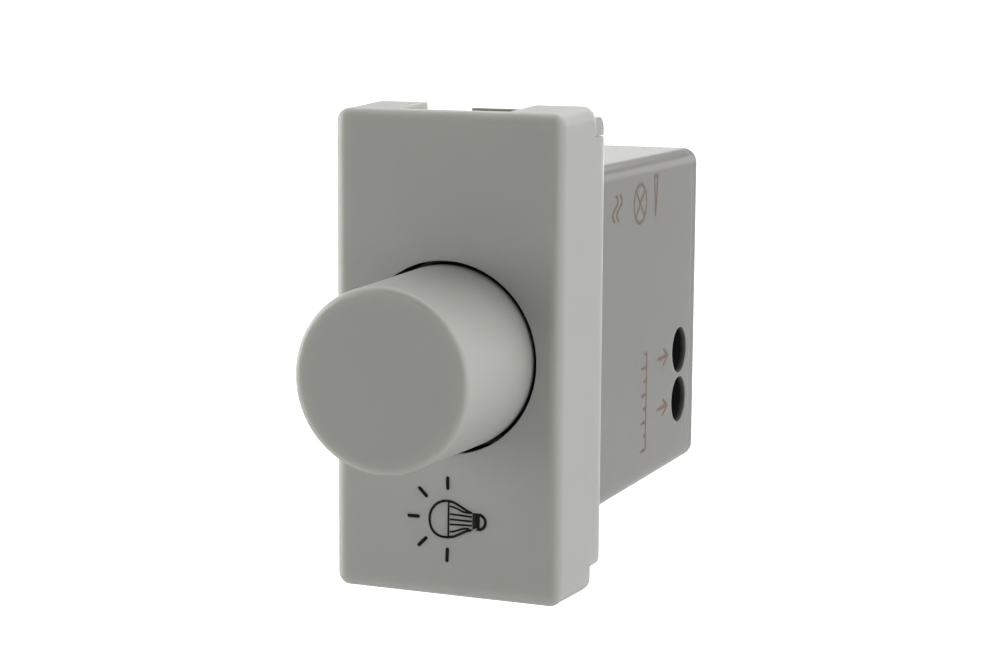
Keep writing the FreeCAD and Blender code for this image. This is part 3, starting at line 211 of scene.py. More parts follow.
def brushed_group():
    """Drawn or rolled metal: a noise stretched along one axis, as a height and a roughness."""
    group, given, out = new_group(
        "rolled_metal",
        [("Vector", "NodeSocketVector", None), ("Scale", "NodeSocketFloat", 4000.0),
         ("Roughness", "NodeSocketFloat", 0.3)],
        [("Height", "NodeSocketFloat"), ("Roughness", "NodeSocketFloat")])
    stretch = group.nodes.new("ShaderNodeVectorMath")
    stretch.operation = "MULTIPLY"
    stretch.inputs[1].default_value = ROLLED_STRETCH
    group.links.new(given.outputs["Vector"], stretch.inputs[0])
    lines = group.nodes.new("ShaderNodeTexNoise")
    lines.inputs["Detail"].default_value = NOISE_DETAIL
    group.links.new(stretch.outputs["Vector"], lines.inputs["Vector"])
    group.links.new(given.outputs["Scale"], lines.inputs["Scale"])
    group.links.new(lines.outputs["Fac"], out.inputs["Height"])
    spread = maths(group, "MULTIPLY", maths(group, "SUBTRACT", lines.outputs["Fac"], 0.5), ROLLED_SPREAD)
    group.links.new(maths(group, "ADD", given.outputs["Roughness"], spread), out.inputs["Roughness"])
    return group


def near_axis(group, first, second, radius):
    """1 where the two offsets of a point from an axis lie within the radius, and 0 outside."""
    square = maths(group, "ADD", maths(group, "POWER", first, 2.0), maths(group, "POWER", second, 2.0))
    return maths(group, "LESS_THAN", maths(group, "SQRT", square, 0.0), radius)


def share_of(group, value, whole):
    """A value as a share of the whole, held between 0 and 1."""
    share = maths(group, "DIVIDE", value, whole)
    return maths(group, "MINIMUM", maths(group, "MAXIMUM", share, 0.0), 1.0)


def bore_group():
    """How deep a point lies in a bore along X: 0 at the mouth, 1 from the depth on, 0 past its length."""
    group, given, out = new_group(
        "bore_shade",
        [("Vector", "NodeSocketVector", None), ("Centre", "NodeSocketVector", None),
         ("Radius", "NodeSocketFloat", 2.5 * MM), ("Depth", "NodeSocketFloat", MM),
         ("Length", "NodeSocketFloat", 2.0 * MM)],
        [("Mask", "NodeSocketFloat")])
    offset = group.nodes.new("ShaderNodeVectorMath")
    offset.operation = "SUBTRACT"
    group.links.new(given.outputs["Vector"], offset.inputs[0])
    group.links.new(given.outputs["Centre"], offset.inputs[1])
    split = group.nodes.new("ShaderNodeSeparateXYZ")
    group.links.new(offset.outputs["Vector"], split.inputs[0])
    inside = near_axis(group, split.outputs["Y"], split.outputs["Z"], given.outputs["Radius"])
    inwards = maths(group, "MULTIPLY", split.outputs["X"], -1.0)
    shade = share_of(group, inwards, given.outputs["Depth"])
    near = maths(group, "LESS_THAN", inwards, given.outputs["Length"])
    within = maths(group, "MULTIPLY", inside, near)
    group.links.new(maths(group, "MULTIPLY", within, shade), out.inputs["Mask"])
    return group


def gap_group():
    """How deep a point lies behind the start along Y, near the Y axis: 0 to 1 over the depth."""
    group, given, out = new_group(
        "gap_shade",
        [("Vector", "NodeSocketVector", None), ("Start", "NodeSocketFloat", 0.0),
         ("Depth", "NodeSocketFloat", MM), ("Radius", "NodeSocketFloat", 9.0 * MM)],
        [("Mask", "NodeSocketFloat")])
    split = group.nodes.new("ShaderNodeSeparateXYZ")
    group.links.new(given.outputs["Vector"], split.inputs[0])
    inside = near_axis(group, split.outputs["X"], split.outputs["Z"], given.outputs["Radius"])
    behind = maths(group, "SUBTRACT", split.outputs["Y"], given.outputs["Start"])
    shade = share_of(group, behind, given.outputs["Depth"])
    group.links.new(maths(group, "MULTIPLY", inside, shade), out.inputs["Mask"])
    return group


GROUP_MAKERS = {
    "moulded_mottle": mottle_group, "moulded_grain": grain_group, "rolled_metal": brushed_group,
    "bore_shade": bore_group, "gap_shade": gap_group,
}


def place_group(tree, name):
    """Places a shader group in a material, making the group the first time."""
    node = tree.nodes.new("ShaderNodeGroup")
    node.node_tree = bpy.data.node_groups.get(name) or GROUP_MAKERS[name]()
    return node


# Materials

SPREAD_RADIUS = (1.0, 0.95, 0.8)
METAL_MOTTLE = 0.12
METAL_MOTTLE_SCALE = 700.0
ROLLED_DEPTH = 0.003 * MM
# Near-black colour of the terminal screws: painted shade that keeps the screw holes dark
SCREW_SHADE_COLOUR = (0.03, 0.03, 0.033, 1.0)
SCREW_SHADE_ROUGHNESS = 0.5
MATT = (0.9, 0.9, 0.9, 1.0)

# Colour sockets of a Mix node, by number
MIX_FACTOR = 0
MIX_FIRST = 6
MIX_SECOND = 7
MIX_RESULT = 2

# Shade inside the screw holes and in the gap round the knob
BORE_REACH = 2.45 * MM
BORE_FADE = 0.65 * MM
BORE_LENGTH = 3.0 * MM
BORE_COLOUR = (0.002, 0.002, 0.002, 1.0)
GAP_START = 0.1 * MM
GAP_FADE = 0.5 * MM
GAP_REACH = 9.0 * MM
GAP_COLOUR = (0.01, 0.01, 0.01, 1.0)


def new_material(name):
    """A material with its Principled shader and the object's coordinates."""
    material = bpy.data.materials.new(name)
    material.use_nodes = True
    tree = material.node_tree
    shader = tree.nodes["Principled BSDF"]
    coords = tree.nodes.new("ShaderNodeTexCoord").outputs["Object"]
    return material, tree, shader, coords


def bump(tree, shader, height, distance):
    """Feeds a height between 0 and 1, over a distance in metres, to the shader's normal."""
    node = tree.nodes.new("ShaderNodeBump")
    node.inputs["Distance"].default_value = distance
    node.inputs["Strength"].default_value = 1.0
    tree.links.new(height, node.inputs["Height"])
    tree.links.new(node.outputs["Normal"], shader.inputs["Normal"])


def moulded_plastic(name, colour, roughness, amount=0.03, grain=9000.0, depth=0.004 * MM, shine=0.5):
    """Moulded plastic: cloudy colour, a roughness that follows it and a fine grain."""
    material, tree, shader, coords = new_material(name)
    mottle = place_group(tree, "moulded_mottle")
    mottle.inputs["Colour"].default_value = colour
    mottle.inputs["Amount"].default_value = amount
    mottle.inputs["Roughness"].default_value = roughness
    tree.links.new(coords, mottle.inputs["Vector"])
    tree.links.new(mottle.outputs["Colour"], shader.inputs["Base Color"])
    tree.links.new(mottle.outputs["Roughness"], shader.inputs["Roughness"])
    fine = place_group(tree, "moulded_grain")
    fine.inputs["Scale"].default_value = grain
    tree.links.new(coords, fine.inputs["Vector"])
    bump(tree, shader, fine.outputs["Height"], depth)
    shader.inputs["Specular IOR Level"].default_value = shine
    return material


def let_light_in(material, depth):
    """Lets light spread inside the plastic, which softens and brightens its edges."""
    shader = material.node_tree.nodes["Principled BSDF"]
    shader.inputs["Subsurface Weight"].default_value = 1.0
    shader.inputs["Subsurface Radius"].default_value = SPREAD_RADIUS
    shader.inputs["Subsurface Scale"].default_value = depth
    return material


def ink(name, colour):
    """Matt printing ink, a little cloudy."""
    return moulded_plastic(
        name, colour, roughness=0.7, amount=0.2, grain=20000.0, depth=0.002 * MM, shine=0.15)


def rolled_metal(name, colour, roughness):
    """Plated or rolled metal with fine lines along Y."""
    material, tree, shader, coords = new_material(name)
    mottle = place_group(tree, "moulded_mottle")
    mottle.inputs["Colour"].default_value = colour
    mottle.inputs["Amount"].default_value = METAL_MOTTLE
    mottle.inputs["Scale"].default_value = METAL_MOTTLE_SCALE
    tree.links.new(coords, mottle.inputs["Vector"])
    tree.links.new(mottle.outputs["Colour"], shader.inputs["Base Color"])
    lines = place_group(tree, "rolled_metal")
    lines.inputs["Roughness"].default_value = roughness
    tree.links.new(coords, lines.inputs["Vector"])
    tree.links.new(lines.outputs["Roughness"], shader.inputs["Roughness"])
    bump(tree, shader, lines.outputs["Height"], ROLLED_DEPTH)
    shader.inputs["Metallic"].default_value = 1.0
    return material


def darken(tree, mask, colour):
    """Takes the material's colour to a dark one and its surface to matt where the mask is 1."""
    shader = tree.nodes["Principled BSDF"]
    for label, deep in (("Base Color", colour), ("Roughness", MATT)):
        mix = tree.nodes.new("ShaderNodeMix")
        mix.data_type = "RGBA"
        tree.links.new(mask, mix.inputs[MIX_FACTOR])
        tree.links.new(shader.inputs[label].links[0].from_socket, mix.inputs[MIX_FIRST])
        mix.inputs[MIX_SECOND].default_value = deep
        tree.links.new(mix.outputs[MIX_RESULT], shader.inputs[label])


def object_coords(tree):
    """The material's own output of object coordinates."""
    return next(node for node in tree.nodes if node.type == "TEX_COORD").outputs["Object"]


def darken_gap(material):
    """Darkens what lies behind the face, round the knob, where the light is lost in the gap."""
    tree = material.node_tree
    shade = place_group(tree, "gap_shade")
    shade.inputs["Start"].default_value = FACE_Y + GAP_START
    shade.inputs["Depth"].default_value = GAP_FADE
    shade.inputs["Radius"].default_value = GAP_REACH
    tree.links.new(object_coords(tree), shade.inputs["Vector"])
    darken(tree, shade.outputs["Mask"], GAP_COLOUR)
    return material


def darken_bores(material):
    """Paints shade on the walls of the two screw holes, darker inwards from their mouths."""
    tree = material.node_tree
    coords = object_coords(tree)
    masks = []
    for z in SCREW_Z:
        shade = place_group(tree, "bore_shade")
        shade.inputs["Centre"].default_value = (BODY_SIDE_X, SCREW_Y * MM, z * MM)
        shade.inputs["Radius"].default_value = BORE_REACH
        shade.inputs["Depth"].default_value = BORE_FADE
        shade.inputs["Length"].default_value = BORE_LENGTH
        tree.links.new(coords, shade.inputs["Vector"])
        masks.append(shade.outputs["Mask"])
    darken(tree, maths(tree, "MAXIMUM", *masks), BORE_COLOUR)
    return material


SLOT_FINISHES = {
    "frame_plastic": (moulded_plastic, (0.5, 0.505, 0.48, 1.0), 0.45),
    "black_plastic": (moulded_plastic, (0.02, 0.02, 0.02, 1.0), 0.4),
    "board_laminate": (moulded_plastic, (0.03, 0.16, 0.06, 1.0), 0.35),
    "brown_laminate": (moulded_plastic, (0.25, 0.12, 0.05, 1.0), 0.5),
    "sheet_film": (moulded_plastic, (0.75, 0.75, 0.68, 1.0), 0.35),
    "capacitor_case": (moulded_plastic, (0.7, 0.45, 0.04, 1.0), 0.25),
    "blue_coating": (moulded_plastic, (0.02, 0.1, 0.35, 1.0), 0.3),
    "carbon_track": (moulded_plastic, (0.015, 0.015, 0.015, 1.0), 0.6),
    "silicone_pad": (moulded_plastic, (0.45, 0.45, 0.5, 1.0), 0.7),
    "ferrite": (moulded_plastic, (0.06, 0.06, 0.065, 1.0), 0.6),
    "white_ceramic": (moulded_plastic, (0.8, 0.8, 0.77, 1.0), 0.3),
    "zinc_steel": (rolled_metal, (0.62, 0.63, 0.62, 1.0), 0.32),
    "spring_steel": (rolled_metal, (0.5, 0.5, 0.52, 1.0), 0.25),
    "tinned_metal": (rolled_metal, (0.72, 0.72, 0.72, 1.0), 0.3),
    "brass": (rolled_metal, (0.75, 0.56, 0.24, 1.0), 0.28),
    "aluminium": (rolled_metal, (0.75, 0.75, 0.76, 1.0), 0.35),
    "copper_wire": (rolled_metal, (0.7, 0.3, 0.13, 1.0), 0.25),
}


def dress(node, material):
    """Gives a CAD node one material."""
    mesh = frame["nodes"][node].data
    mesh.materials.clear()
    mesh.materials.append(material)


# Surfaces

MERGE_DISTANCE = 1e-7
STROKE_POINTS = 60
STROKE_SIDES = 12
RING_POINTS = 48


def mesh_object(name, verts, faces, material, body):
    """A smooth piece at the origin from arrays of vertices and faces, with doubles merged."""
    mesh = bpy.data.meshes.new(name)
    mesh.from_pydata(verts.tolist(), [], faces.tolist())
    work = bmesh.new()
    work.from_mesh(mesh)
    bmesh.ops.remove_doubles(work, verts=work.verts, dist=MERGE_DISTANCE)
    bmesh.ops.recalc_face_normals(work, faces=work.faces)
    work.to_mesh(mesh)
    work.free()
    mesh.polygons.foreach_set("use_smooth", np.ones(len(mesh.polygons), bool))
    mesh.materials.append(material)
    piece = bpy.data.objects.new(name, mesh)
    bpy.context.scene.collection.objects.link(piece)
    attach(piece, body)


def grid_faces(rows, columns):
    """Quads of a rows by columns grid of points, whose columns close on themselves."""
    first = np.arange(rows - 1)[:, None] * columns
    second = first + columns
    j = np.arange(columns)[None, :]
    k = (j + 1) % columns
    return np.stack([first + j, first + k, second + k, second + j], -1).reshape(-1, 4)


def along(points):
    """Points evenly spaced along a line of points."""
    points = np.asarray(points, float)
    steps = np.hypot(*np.diff(points, axis=0).T)
    run = np.concatenate([[0.0], np.cumsum(steps)])
    at = np.linspace(0.0, run[-1], STROKE_POINTS)
    return np.stack([np.interp(at, run, points[:, k]) for k in range(2)], -1)


def on_face(u, v, rise):
    """A point of the cover's face, X and Z, raised by the rise."""
    return np.stack([u, FACE_Y - rise, v], -1)


def on_side(u, v, rise):
    """A point of the housing's right side, Y and Z, raised by the rise."""
    return np.stack([BODY_SIDE_X + rise, u, v], -1)


def smooth_line(points):
    """Points on the smooth line through the given ones.

    Between two given points the line is the cubic whose slope at each of them is half the step from the
    point before it to the point after it, and the end points are doubled.
    """
    given = np.asarray(points, float)
    padded = np.concatenate([given[:1], given, given[-1:]])
    at = np.linspace(0.0, len(given) - 1.0, STROKE_POINTS)
    cell = np.minimum(at.astype(int), len(given) - 2)
    t = (at - cell)[:, None]
    p0, p1, p2, p3 = (padded[cell + k] for k in range(4))
    m1 = (p2 - p0) / 2
    m2 = (p3 - p1) / 2
    a = 2 * t ** 3 - 3 * t ** 2
    return (a + 1) * p1 - a * p2 + (t ** 3 - 2 * t ** 2 + t) * m1 + (t ** 3 - t ** 2) * m2


def ink_stroke(points, width, height, place):
    """One printed stroke as a closed low cushion, laid on a surface by the place function.

    Across the line its section is an ellipse: the offset is half the width times the cosine of an angle,
    and the rise is the ink's height times its sine. Towards each end the width shrinks as the square root
    of one minus the square of the way past the end's centre, which rounds the end.
    """
    path = along(points)
    step = np.gradient(path, axis=0)
    step /= np.hypot(*step.T)[:, None]
    across = np.stack([-step[:, 1], step[:, 0]], -1)
    run = np.concatenate([[0.0], np.cumsum(np.hypot(*np.diff(path, axis=0).T))])
    to_end = np.minimum(run, run[-1] - run)
    radius = width / 2
    past = np.clip(1.0 - to_end / radius, 0.0, 1.0)
    half = radius * np.sqrt(1.0 - past ** 2)
    angle = np.linspace(0.0, 2 * np.pi, STROKE_SIDES, endpoint=False)
    side = np.cos(angle)[None, :] * half[:, None]
    rise = np.sin(angle)[None, :] * (height * half / radius)[:, None]
    u = path[:, 0, None] + across[:, 0, None] * side
    v = path[:, 1, None] + across[:, 1, None] * side
    return place(u, v, rise).reshape(-1, 3), grid_faces(len(path), len(angle))


def join_strokes(strokes):
    """One set of vertices and faces from several."""
    verts, faces, base = [], [], 0
    for v, f in strokes:
        verts.append(v)
        faces.append(f + base)
        base += len(v)
    return np.concatenate(verts), np.concatenate(faces)


def ring_points(u, v, radius):
    """Points on a ring, from the first axis towards the second."""
    angle = np.radians(np.linspace(0.0, 360.0, RING_POINTS))
    return np.stack([u + radius * np.cos(angle), v + radius * np.sin(angle)], -1)


# Lamp mark on the cover's face, in millimetres of X and Z
RAYS = [
    [(0.28, -11.00), (0.31, -12.30)],
    [(-2.66, -12.23), (-1.72, -13.14)],
    [(-3.78, -15.04), (-2.50, -15.03)],
    [(-2.72, -17.86), (-1.77, -16.91)],
    [(0.29, -17.73), (0.23, -19.14)],
]
BULB_OUTLINE = [
    (2.84, -14.28), (2.46, -14.18), (2.04, -13.98), (1.35, -13.62), (0.89, -13.41), (0.43, -13.33),
    (0.05, -13.33), (-0.49, -13.49), (-0.95, -13.80), (-1.30, -14.27), (-1.48, -14.75), (-1.51, -15.19),
    (-1.45, -15.69), (-1.26, -16.15), (-0.91, -16.50), (-0.37, -16.73), (0.29, -16.76), (0.90, -16.63),
    (1.36, -16.42), (1.82, -16.18), (2.28, -15.97), (2.81, -15.81),
]
BULB_DIVIDER = [(0.40, -13.37), (0.36, -16.72)]
FINS = [
    [
        (0.48, -13.80), (0.89, -13.87), (1.20, -13.96), (1.58, -14.12), (1.89, -14.22), (2.27, -14.26),
        (2.76, -14.26),
    ],
    [(0.48, -14.53), (2.76, -14.62)],
    [(0.48, -15.04), (2.76, -15.04)],
    [(0.48, -15.52), (2.76, -15.43)],
    [(0.48, -16.21), (0.86, -16.16), (1.21, -16.05), (1.55, -15.91), (1.90, -15.81), (2.45, -15.74)],
]
COLLAR = [
    [(2.86, -14.26), (2.85, -15.80)],
    [(3.02, -14.34), (3.01, -15.74)],
    [(3.17, -14.34), (3.16, -15.66)],
    [(3.31, -14.34), (3.30, -15.72)],
    [(3.45, -14.30), (3.43, -15.76)],
    [(2.84, -14.28), (3.45, -14.31)],
    [(3.15, -15.78), (3.42, -15.79)],
]
BULB_TIP = [
    (3.40, -14.30), (3.76, -14.47), (4.00, -14.73), (4.06, -15.10), (3.93, -15.47), (3.68, -15.67),
    (3.32, -15.80),
]
COLLAR_WIDTH_SHARE = 0.8
TIP_WIDTH_SHARE = 0.85

# Signs on the housing's right side, in millimetres of Y and Z
WAVE_Y = 7.9
WAVE_Z = 12.7
WAVE_SWING = 0.75
WAVE_LENGTH = 2.6
WAVE_OFFSET = 0.6
WAVE_POINTS = 40
LAMP_SIGN = (14.7, 12.6)
LAMP_SIGN_R = 1.9
LAMP_CROSS_SHARE = 0.7071
WEDGE_TIP = (19.5, 10.9)
WEDGE_END_Z = 15.0
WEDGE_HALF = 0.55
GAUGE_Y = 17.4
GAUGE_LOW_Z = -12.4
GAUGE_HIGH_Z = -2.6
GAUGE_STEPS = 8
GAUGE_TICKS = (1.6, 0.9)
ARROW_Y = 20.9
ARROW_LENGTH = 3.3
ARROW_HEAD = (1.5, 0.85)


def face_strokes(look):
    """The lamp mark: rays, bulb, fins and collar."""
    plan = [(line, look.ray_width) for line in RAYS]
    plan += [(BULB_OUTLINE, look.outline_width), (BULB_DIVIDER, look.line_width)]
    plan += [(line, look.line_width) for line in FINS]
    plan += [(line, look.line_width * COLLAR_WIDTH_SHARE) for line in COLLAR]
    plan += [(BULB_TIP, look.ray_width * TIP_WIDTH_SHARE)]
    return [
        ink_stroke(smooth_line(np.array(line) * MM), width, look.height, on_face)
        for line, width in plan
    ]


def side_lines():
    """The housing's signs: a wave, a lamp, a wedge, a stripping gauge and an arrow to each screw."""
    turn = np.linspace(0.0, 2 * np.pi, WAVE_POINTS)
    swing = WAVE_SWING * np.sin(turn)
    drop = WAVE_Z + WAVE_LENGTH / 2 - WAVE_LENGTH * turn / (2 * np.pi)
    lines = [np.stack([WAVE_Y + swing + k, drop], -1) for k in (-WAVE_OFFSET, WAVE_OFFSET)]
    y, z = LAMP_SIGN
    lines.append(ring_points(y, z, LAMP_SIGN_R))
    reach = LAMP_SIGN_R * LAMP_CROSS_SHARE
    for rise in (reach, -reach):
        lines.append([(y - reach, z - rise), (y + reach, z + rise)])
    y, z = WEDGE_TIP
    lines.append([(y, z), (y - WEDGE_HALF, WEDGE_END_Z), (y + WEDGE_HALF, WEDGE_END_Z), (y, z)])
    lines.append([(GAUGE_Y, GAUGE_LOW_Z), (GAUGE_Y, GAUGE_HIGH_Z)])
    for k, tick in enumerate(np.linspace(GAUGE_LOW_Z, GAUGE_HIGH_Z, GAUGE_STEPS)):
        lines.append([(GAUGE_Y, tick), (GAUGE_Y - GAUGE_TICKS[k % 2], tick)])
    end = ARROW_Y + ARROW_LENGTH
    back = end - ARROW_HEAD[0]
    for z in SCREW_Z:
        lines.append([(ARROW_Y, z), (end, z)])
        lines.append([(back, z + ARROW_HEAD[1]), (end, z), (back, z - ARROW_HEAD[1])])
    return lines


# Operators

class DIMMER_OT_cover(bpy.types.Operator):
    """Finish the cover"""
    bl_idname = "dimmer.cover"
    bl_label = "Cover"

    def execute(self, context):
        look = context.scene.dimmer_cover
        material = moulded_plastic("cover_plastic", look.colour, look.roughness, shine=look.shine)
        dress("front_cover", darken_gap(let_light_in(material, look.depth)))
        return {"FINISHED"}


class DIMMER_OT_knob(bpy.types.Operator):
    """Finish the knob"""
    bl_idname = "dimmer.knob"
    bl_label = "Knob"

    def execute(self, context):
        look = context.scene.dimmer_cover
        material = moulded_plastic("knob_plastic", look.knob_colour, look.roughness, shine=look.shine)
        dress("knob", darken_gap(let_light_in(material, look.depth)))
        return {"FINISHED"}


class DIMMER_OT_body(bpy.types.Operator):
    """Finish the rear housing and its lid"""
    bl_idname = "dimmer.body"
    bl_label = "Rear housing"

    def execute(self, context):
        look = context.scene.dimmer_body
        plain = moulded_plastic(
            "body_plastic", look.colour, look.roughness, amount=0.02, grain=5000.0, depth=0.001 * MM)
        dress("rear_lid", let_light_in(plain, look.depth))
        bored = plain.copy()
        bored.name = "body_plastic_bored"
        dress("rear_housing", darken_bores(bored))
        return {"FINISHED"}


class DIMMER_OT_inner_pieces(bpy.types.Operator):
    """Finish everything that the cover and the housing hold"""
    bl_idname = "dimmer.inner_pieces"
    bl_label = "Inner pieces"

    def execute(self, context):
        made = {}
        for part in frame["record"]["subparts"]:
            slot = part["material_slot"]
            if slot not in SLOT_FINISHES:
                continue
            if slot not in made:
                maker, colour, roughness = SLOT_FINISHES[slot]
                made[slot] = maker(slot, colour, roughness)
            dress(part["node"], made[slot])
        # The terminal screws get a near-black colour, painted shade inside the screw holes
        dark = rolled_metal("blackened_steel", SCREW_SHADE_COLOUR, SCREW_SHADE_ROUGHNESS)
        for node in ("terminal_screw_1", "terminal_screw_2"):
            dress(node, dark)
        return {"FINISHED"}


class DIMMER_OT_lamp_mark(bpy.types.Operator):
    """Print the lamp mark under the knob"""
    bl_idname = "dimmer.lamp_mark"
    bl_label = "Lamp mark"

    def execute(self, context):
        look = context.scene.dimmer_mark
        verts, faces = join_strokes(face_strokes(look))
        material = ink("black_ink", look.colour)
        mesh_object("lamp_mark", verts, faces, material, "housing")
        return {"FINISHED"}


class DIMMER_OT_side_signs(bpy.types.Operator):
    """Print the plain signs on the housing's right side"""
    bl_idname = "dimmer.side_signs"
    bl_label = "Side signs"

    def execute(self, context):
        look = context.scene.dimmer_mark
        verts, faces = join_strokes([
            ink_stroke(np.array(line) * MM, look.side_width, look.height, on_side)
            for line in side_lines()
        ])
        material = ink("tan_ink", look.side_colour)
        mesh_object("side_signs", verts, faces, material, "housing")
        return {"FINISHED"}


# Stage

# The photograph's camera: place in metres, lens and sensor in millimetres
CAMERA_PLACE = (0.083488, -0.200967, 0.034052)
CAMERA_RIGHT = (0.92624103, 0.37687681, 0.00643667)
CAMERA_UP = (-0.06231861, 0.13627281, 0.98870932)
CAMERA_BACK = (0.37174447, -0.91618425, 0.14970791)
CAMERA_LENS = 83.74
SENSOR_WIDTH = 36.0
CAMERA_CLIP = (0.01, 20.0)


def add_camera():
    """The camera at the photograph's place and lens."""
    data = bpy.data.cameras.new("camera")
    data.sensor_width = SENSOR_WIDTH
    data.lens = CAMERA_LENS
    data.clip_start, data.clip_end = CAMERA_CLIP
    camera = bpy.data.objects.new("camera", data)
    turn = Matrix((CAMERA_RIGHT, CAMERA_UP, CAMERA_BACK)).transposed().to_4x4()
    camera.matrix_world = Matrix.Translation(CAMERA_PLACE) @ turn
    bpy.context.scene.collection.objects.link(camera)
    bpy.context.scene.camera = camera


LAMP_DISTANCE = 0.55
LAMP_SIZE = 0.42
LAMP_SIDES = {
    "left": (-1.0, -0.1, 0.1),
    "left_front": (-0.9, -0.45, 0.1),
    "right": (0.98, -0.2, 0.0),
    "right_front": (0.9, -0.45, 0.0),
    "back_top": (0.0, 0.7, 0.7),
}


def add_lamp(name, side, gain):
    """A square soft lamp aimed at the object. A white face turned to it gains that much light."""
    data = bpy.data.lights.new(name, "AREA")
    data.size = LAMP_SIZE
    data.energy = gain * np.pi ** 2 * LAMP_DISTANCE ** 2
    back = np.array(side, float)
    back /= np.linalg.norm(back)
    right = np.cross((0.0, 0.0, 1.0), back)
    right /= np.linalg.norm(right)
    up = np.cross(back, right)
    turn = Matrix((tuple(right), tuple(up), tuple(back))).transposed().to_4x4()
    lamp = bpy.data.objects.new(name, data)
    lamp.matrix_world = Matrix.Translation(tuple(back * LAMP_DISTANCE)) @ turn
    bpy.context.scene.collection.objects.link(lamp)


WHITE = (1.0, 1.0, 1.0, 1.0)
BACKDROP_EDGE = (-0.2, 0.5)
MIRRORED_FRONT = (-0.8, -0.4, 0.15)
MIRRORED_BANDS = ((0.0, 1.0), (0.21, 1.0), (0.25, 0.3), (0.33, 0.3), (0.37, 1.0))


def ramp(tree, value, start, end, low, high):
    """A value carried from low at the start to high at the end, and held outside."""
    node = tree.nodes.new("ShaderNodeMapRange")
    for label, number in (("From Min", start), ("From Max", end), ("To Min", low), ("To Max", high)):
        node.inputs[label].default_value = number
    tree.links.new(value, node.inputs["Value"])
    return node.outputs["Result"]


def add_world(level, backdrop):
    """White to the camera, a soft light on the object that is stronger from behind, and a mirrored studio.

    What mirrors the surroundings sees them white, apart from the dark side behind the camera and a dark
    gap between the backdrop's edge and the ceiling.
    """
    world = bpy.data.worlds.new("surround")
    bpy.context.scene.world = world
    world.use_nodes = True
    tree = world.node_tree
    background = tree.nodes["Background"]
    split = tree.nodes.new("ShaderNodeSeparateXYZ")
    tree.links.new(tree.nodes.new("ShaderNodeTexCoord").outputs["Generated"], split.inputs[0])
    behind = ramp(tree, split.outputs["Y"], *BACKDROP_EDGE, level, level + backdrop)
    start, end, dark = MIRRORED_FRONT
    front = ramp(tree, split.outputs["Y"], start, end, dark, 1.0)
    bands = tree.nodes.new("ShaderNodeValToRGB")
    stops = bands.color_ramp.elements
    while len(stops) < len(MIRRORED_BANDS):
        stops.new(1.0)
    for stop, (place, value) in zip(stops, MIRRORED_BANDS):
        stop.position = place
        stop.color = (value, value, value, 1.0)
    tree.links.new(split.outputs["Z"], bands.inputs["Fac"])
    path = tree.nodes.new("ShaderNodeLightPath")
    glossy = path.outputs["Is Glossy Ray"]
    mirrored = maths(tree, "MULTIPLY", glossy, maths(tree, "MULTIPLY", front, bands.outputs["Color"]))
    lit = maths(tree, "MULTIPLY", maths(tree, "SUBTRACT", 1.0, glossy), behind)
    seen = maths(tree, "MAXIMUM", path.outputs["Is Camera Ray"], path.outputs["Is Transmission Ray"])
    strength = maths(tree, "MAXIMUM", seen, maths(tree, "MAXIMUM", mirrored, lit))
    tree.links.new(strength, background.inputs["Strength"])
    background.inputs["Color"].default_value = WHITE


FLOOR_REACH = 60.0
FLOOR_COLOUR = (0.5, 0.5, 0.5, 1.0)
FLOOR_ROUGHNESS = 0.9
SHADOW_REACH = 0.16
PALE_FROM = 0.30
GLOW_NEAR = 0.35
GLOW_FAR = 1.05
MIRRORED_FLOOR = 0.25


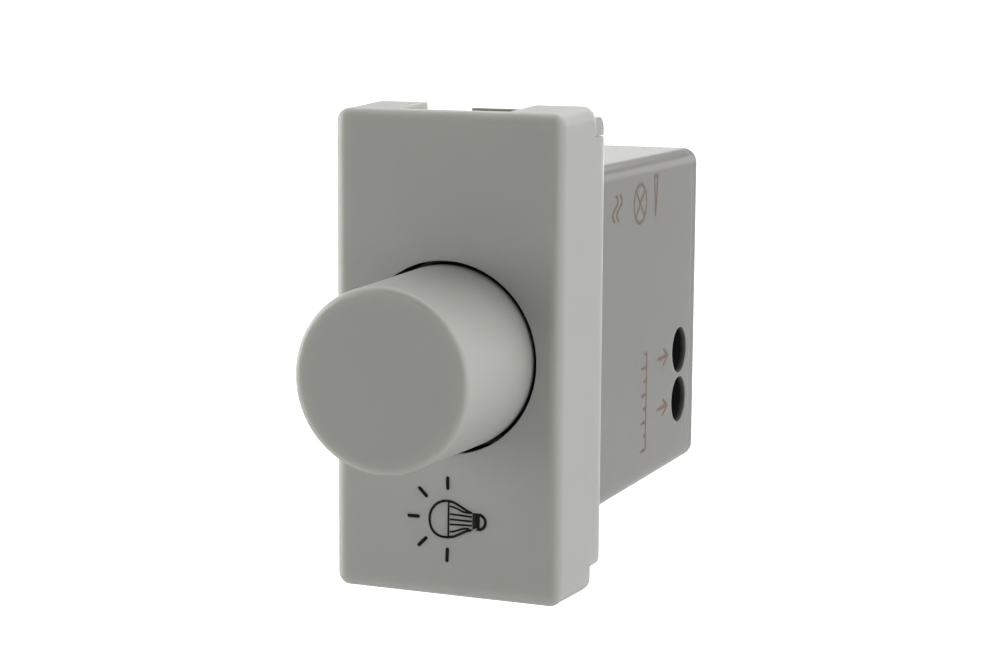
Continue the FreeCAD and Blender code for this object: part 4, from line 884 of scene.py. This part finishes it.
def add_floor(level, surround):
    """A wide pale floor below the part, which its wall frame would hold in the air.

    It keeps the part's shadow near the middle, and glows to white further out for the camera and for
    what is mirrored or seen through.
    """
    mesh = bpy.data.meshes.new("floor")
    r = FLOOR_REACH
    corners = [(-r, -r, level), (r, -r, level), (r, r, level), (-r, r, level)]
    mesh.from_pydata(corners, [], [(0, 1, 2, 3)])
    floor = bpy.data.objects.new("floor", mesh)
    bpy.context.scene.collection.objects.link(floor)
    material, tree, shader, coords = new_material("floor")
    shader.inputs["Base Color"].default_value = FLOOR_COLOUR
    shader.inputs["Roughness"].default_value = FLOOR_ROUGHNESS
    shader.inputs["Specular IOR Level"].default_value = 0.0
    away = tree.nodes.new("ShaderNodeVectorMath")
    away.operation = "LENGTH"
    tree.links.new(coords, away.inputs[0])
    far = GLOW_FAR - surround * FLOOR_COLOUR[0]
    spread = ramp(tree, away.outputs["Value"], SHADOW_REACH, PALE_FROM, GLOW_NEAR, far)
    path = tree.nodes.new("ShaderNodeLightPath")
    direct = maths(tree, "MAXIMUM", path.outputs["Is Camera Ray"], path.outputs["Is Transmission Ray"])
    mirrored = maths(tree, "MULTIPLY", path.outputs["Is Glossy Ray"], MIRRORED_FLOOR)
    glow = maths(tree, "MULTIPLY", maths(tree, "MAXIMUM", direct, mirrored), spread)
    shader.inputs["Emission Color"].default_value = WHITE
    tree.links.new(glow, shader.inputs["Emission Strength"])
    mesh.materials.append(material)


class DIMMER_OT_stage(bpy.types.Operator):
    """Add the floor, lamps, surroundings and camera"""
    bl_idname = "dimmer.stage"
    bl_label = "Stage"

    def execute(self, context):
        stage = context.scene.dimmer_stage
        context.scene.view_settings.view_transform = "Standard"
        add_world(stage.surround, stage.backdrop)
        add_floor(stage.floor_level, stage.surround)
        for name, side in LAMP_SIDES.items():
            add_lamp(name, side, getattr(stage, name))
        add_camera()
        return {"FINISHED"}


# Panel and registration

class DIMMER_PT_panel(bpy.types.Panel):
    """Lists the dimmer's pieces"""
    bl_label = "Rotary Dimmer"
    bl_space_type = "VIEW_3D"
    bl_region_type = "UI"
    bl_category = "Dimmer"

    def draw(self, context):
        for operator in OPERATORS:
            self.layout.operator(operator.bl_idname)


SETTINGS = {
    "dimmer_cover": CoverSettings,
    "dimmer_body": BodySettings,
    "dimmer_mark": MarkSettings,
    "dimmer_stage": StageSettings,
}
OPERATORS = (
    DIMMER_OT_cover, DIMMER_OT_knob, DIMMER_OT_body, DIMMER_OT_inner_pieces, DIMMER_OT_lamp_mark,
    DIMMER_OT_side_signs, DIMMER_OT_stage,
)


def register():
    """Registers the settings, operators and panel."""
    for name, group in SETTINGS.items():
        bpy.utils.register_class(group)
        setattr(bpy.types.Scene, name, bpy.props.PointerProperty(type=group))
    for kind in OPERATORS + (DIMMER_PT_panel,):
        bpy.utils.register_class(kind)


def unregister():
    """Takes the panel, operators and settings out again."""
    for kind in reversed(OPERATORS + (DIMMER_PT_panel,)):
        bpy.utils.unregister_class(kind)
    for name, group in SETTINGS.items():
        delattr(bpy.types.Scene, name)
        bpy.utils.unregister_class(group)


def main():
    """Builds every piece in order."""
    register()
    bpy.ops.dimmer.cover()
    bpy.ops.dimmer.knob()
    bpy.ops.dimmer.body()
    bpy.ops.dimmer.inner_pieces()
    bpy.ops.dimmer.lamp_mark()
    bpy.ops.dimmer.side_signs()
    bpy.ops.dimmer.stage()


if __name__ == "__main__":
    main()
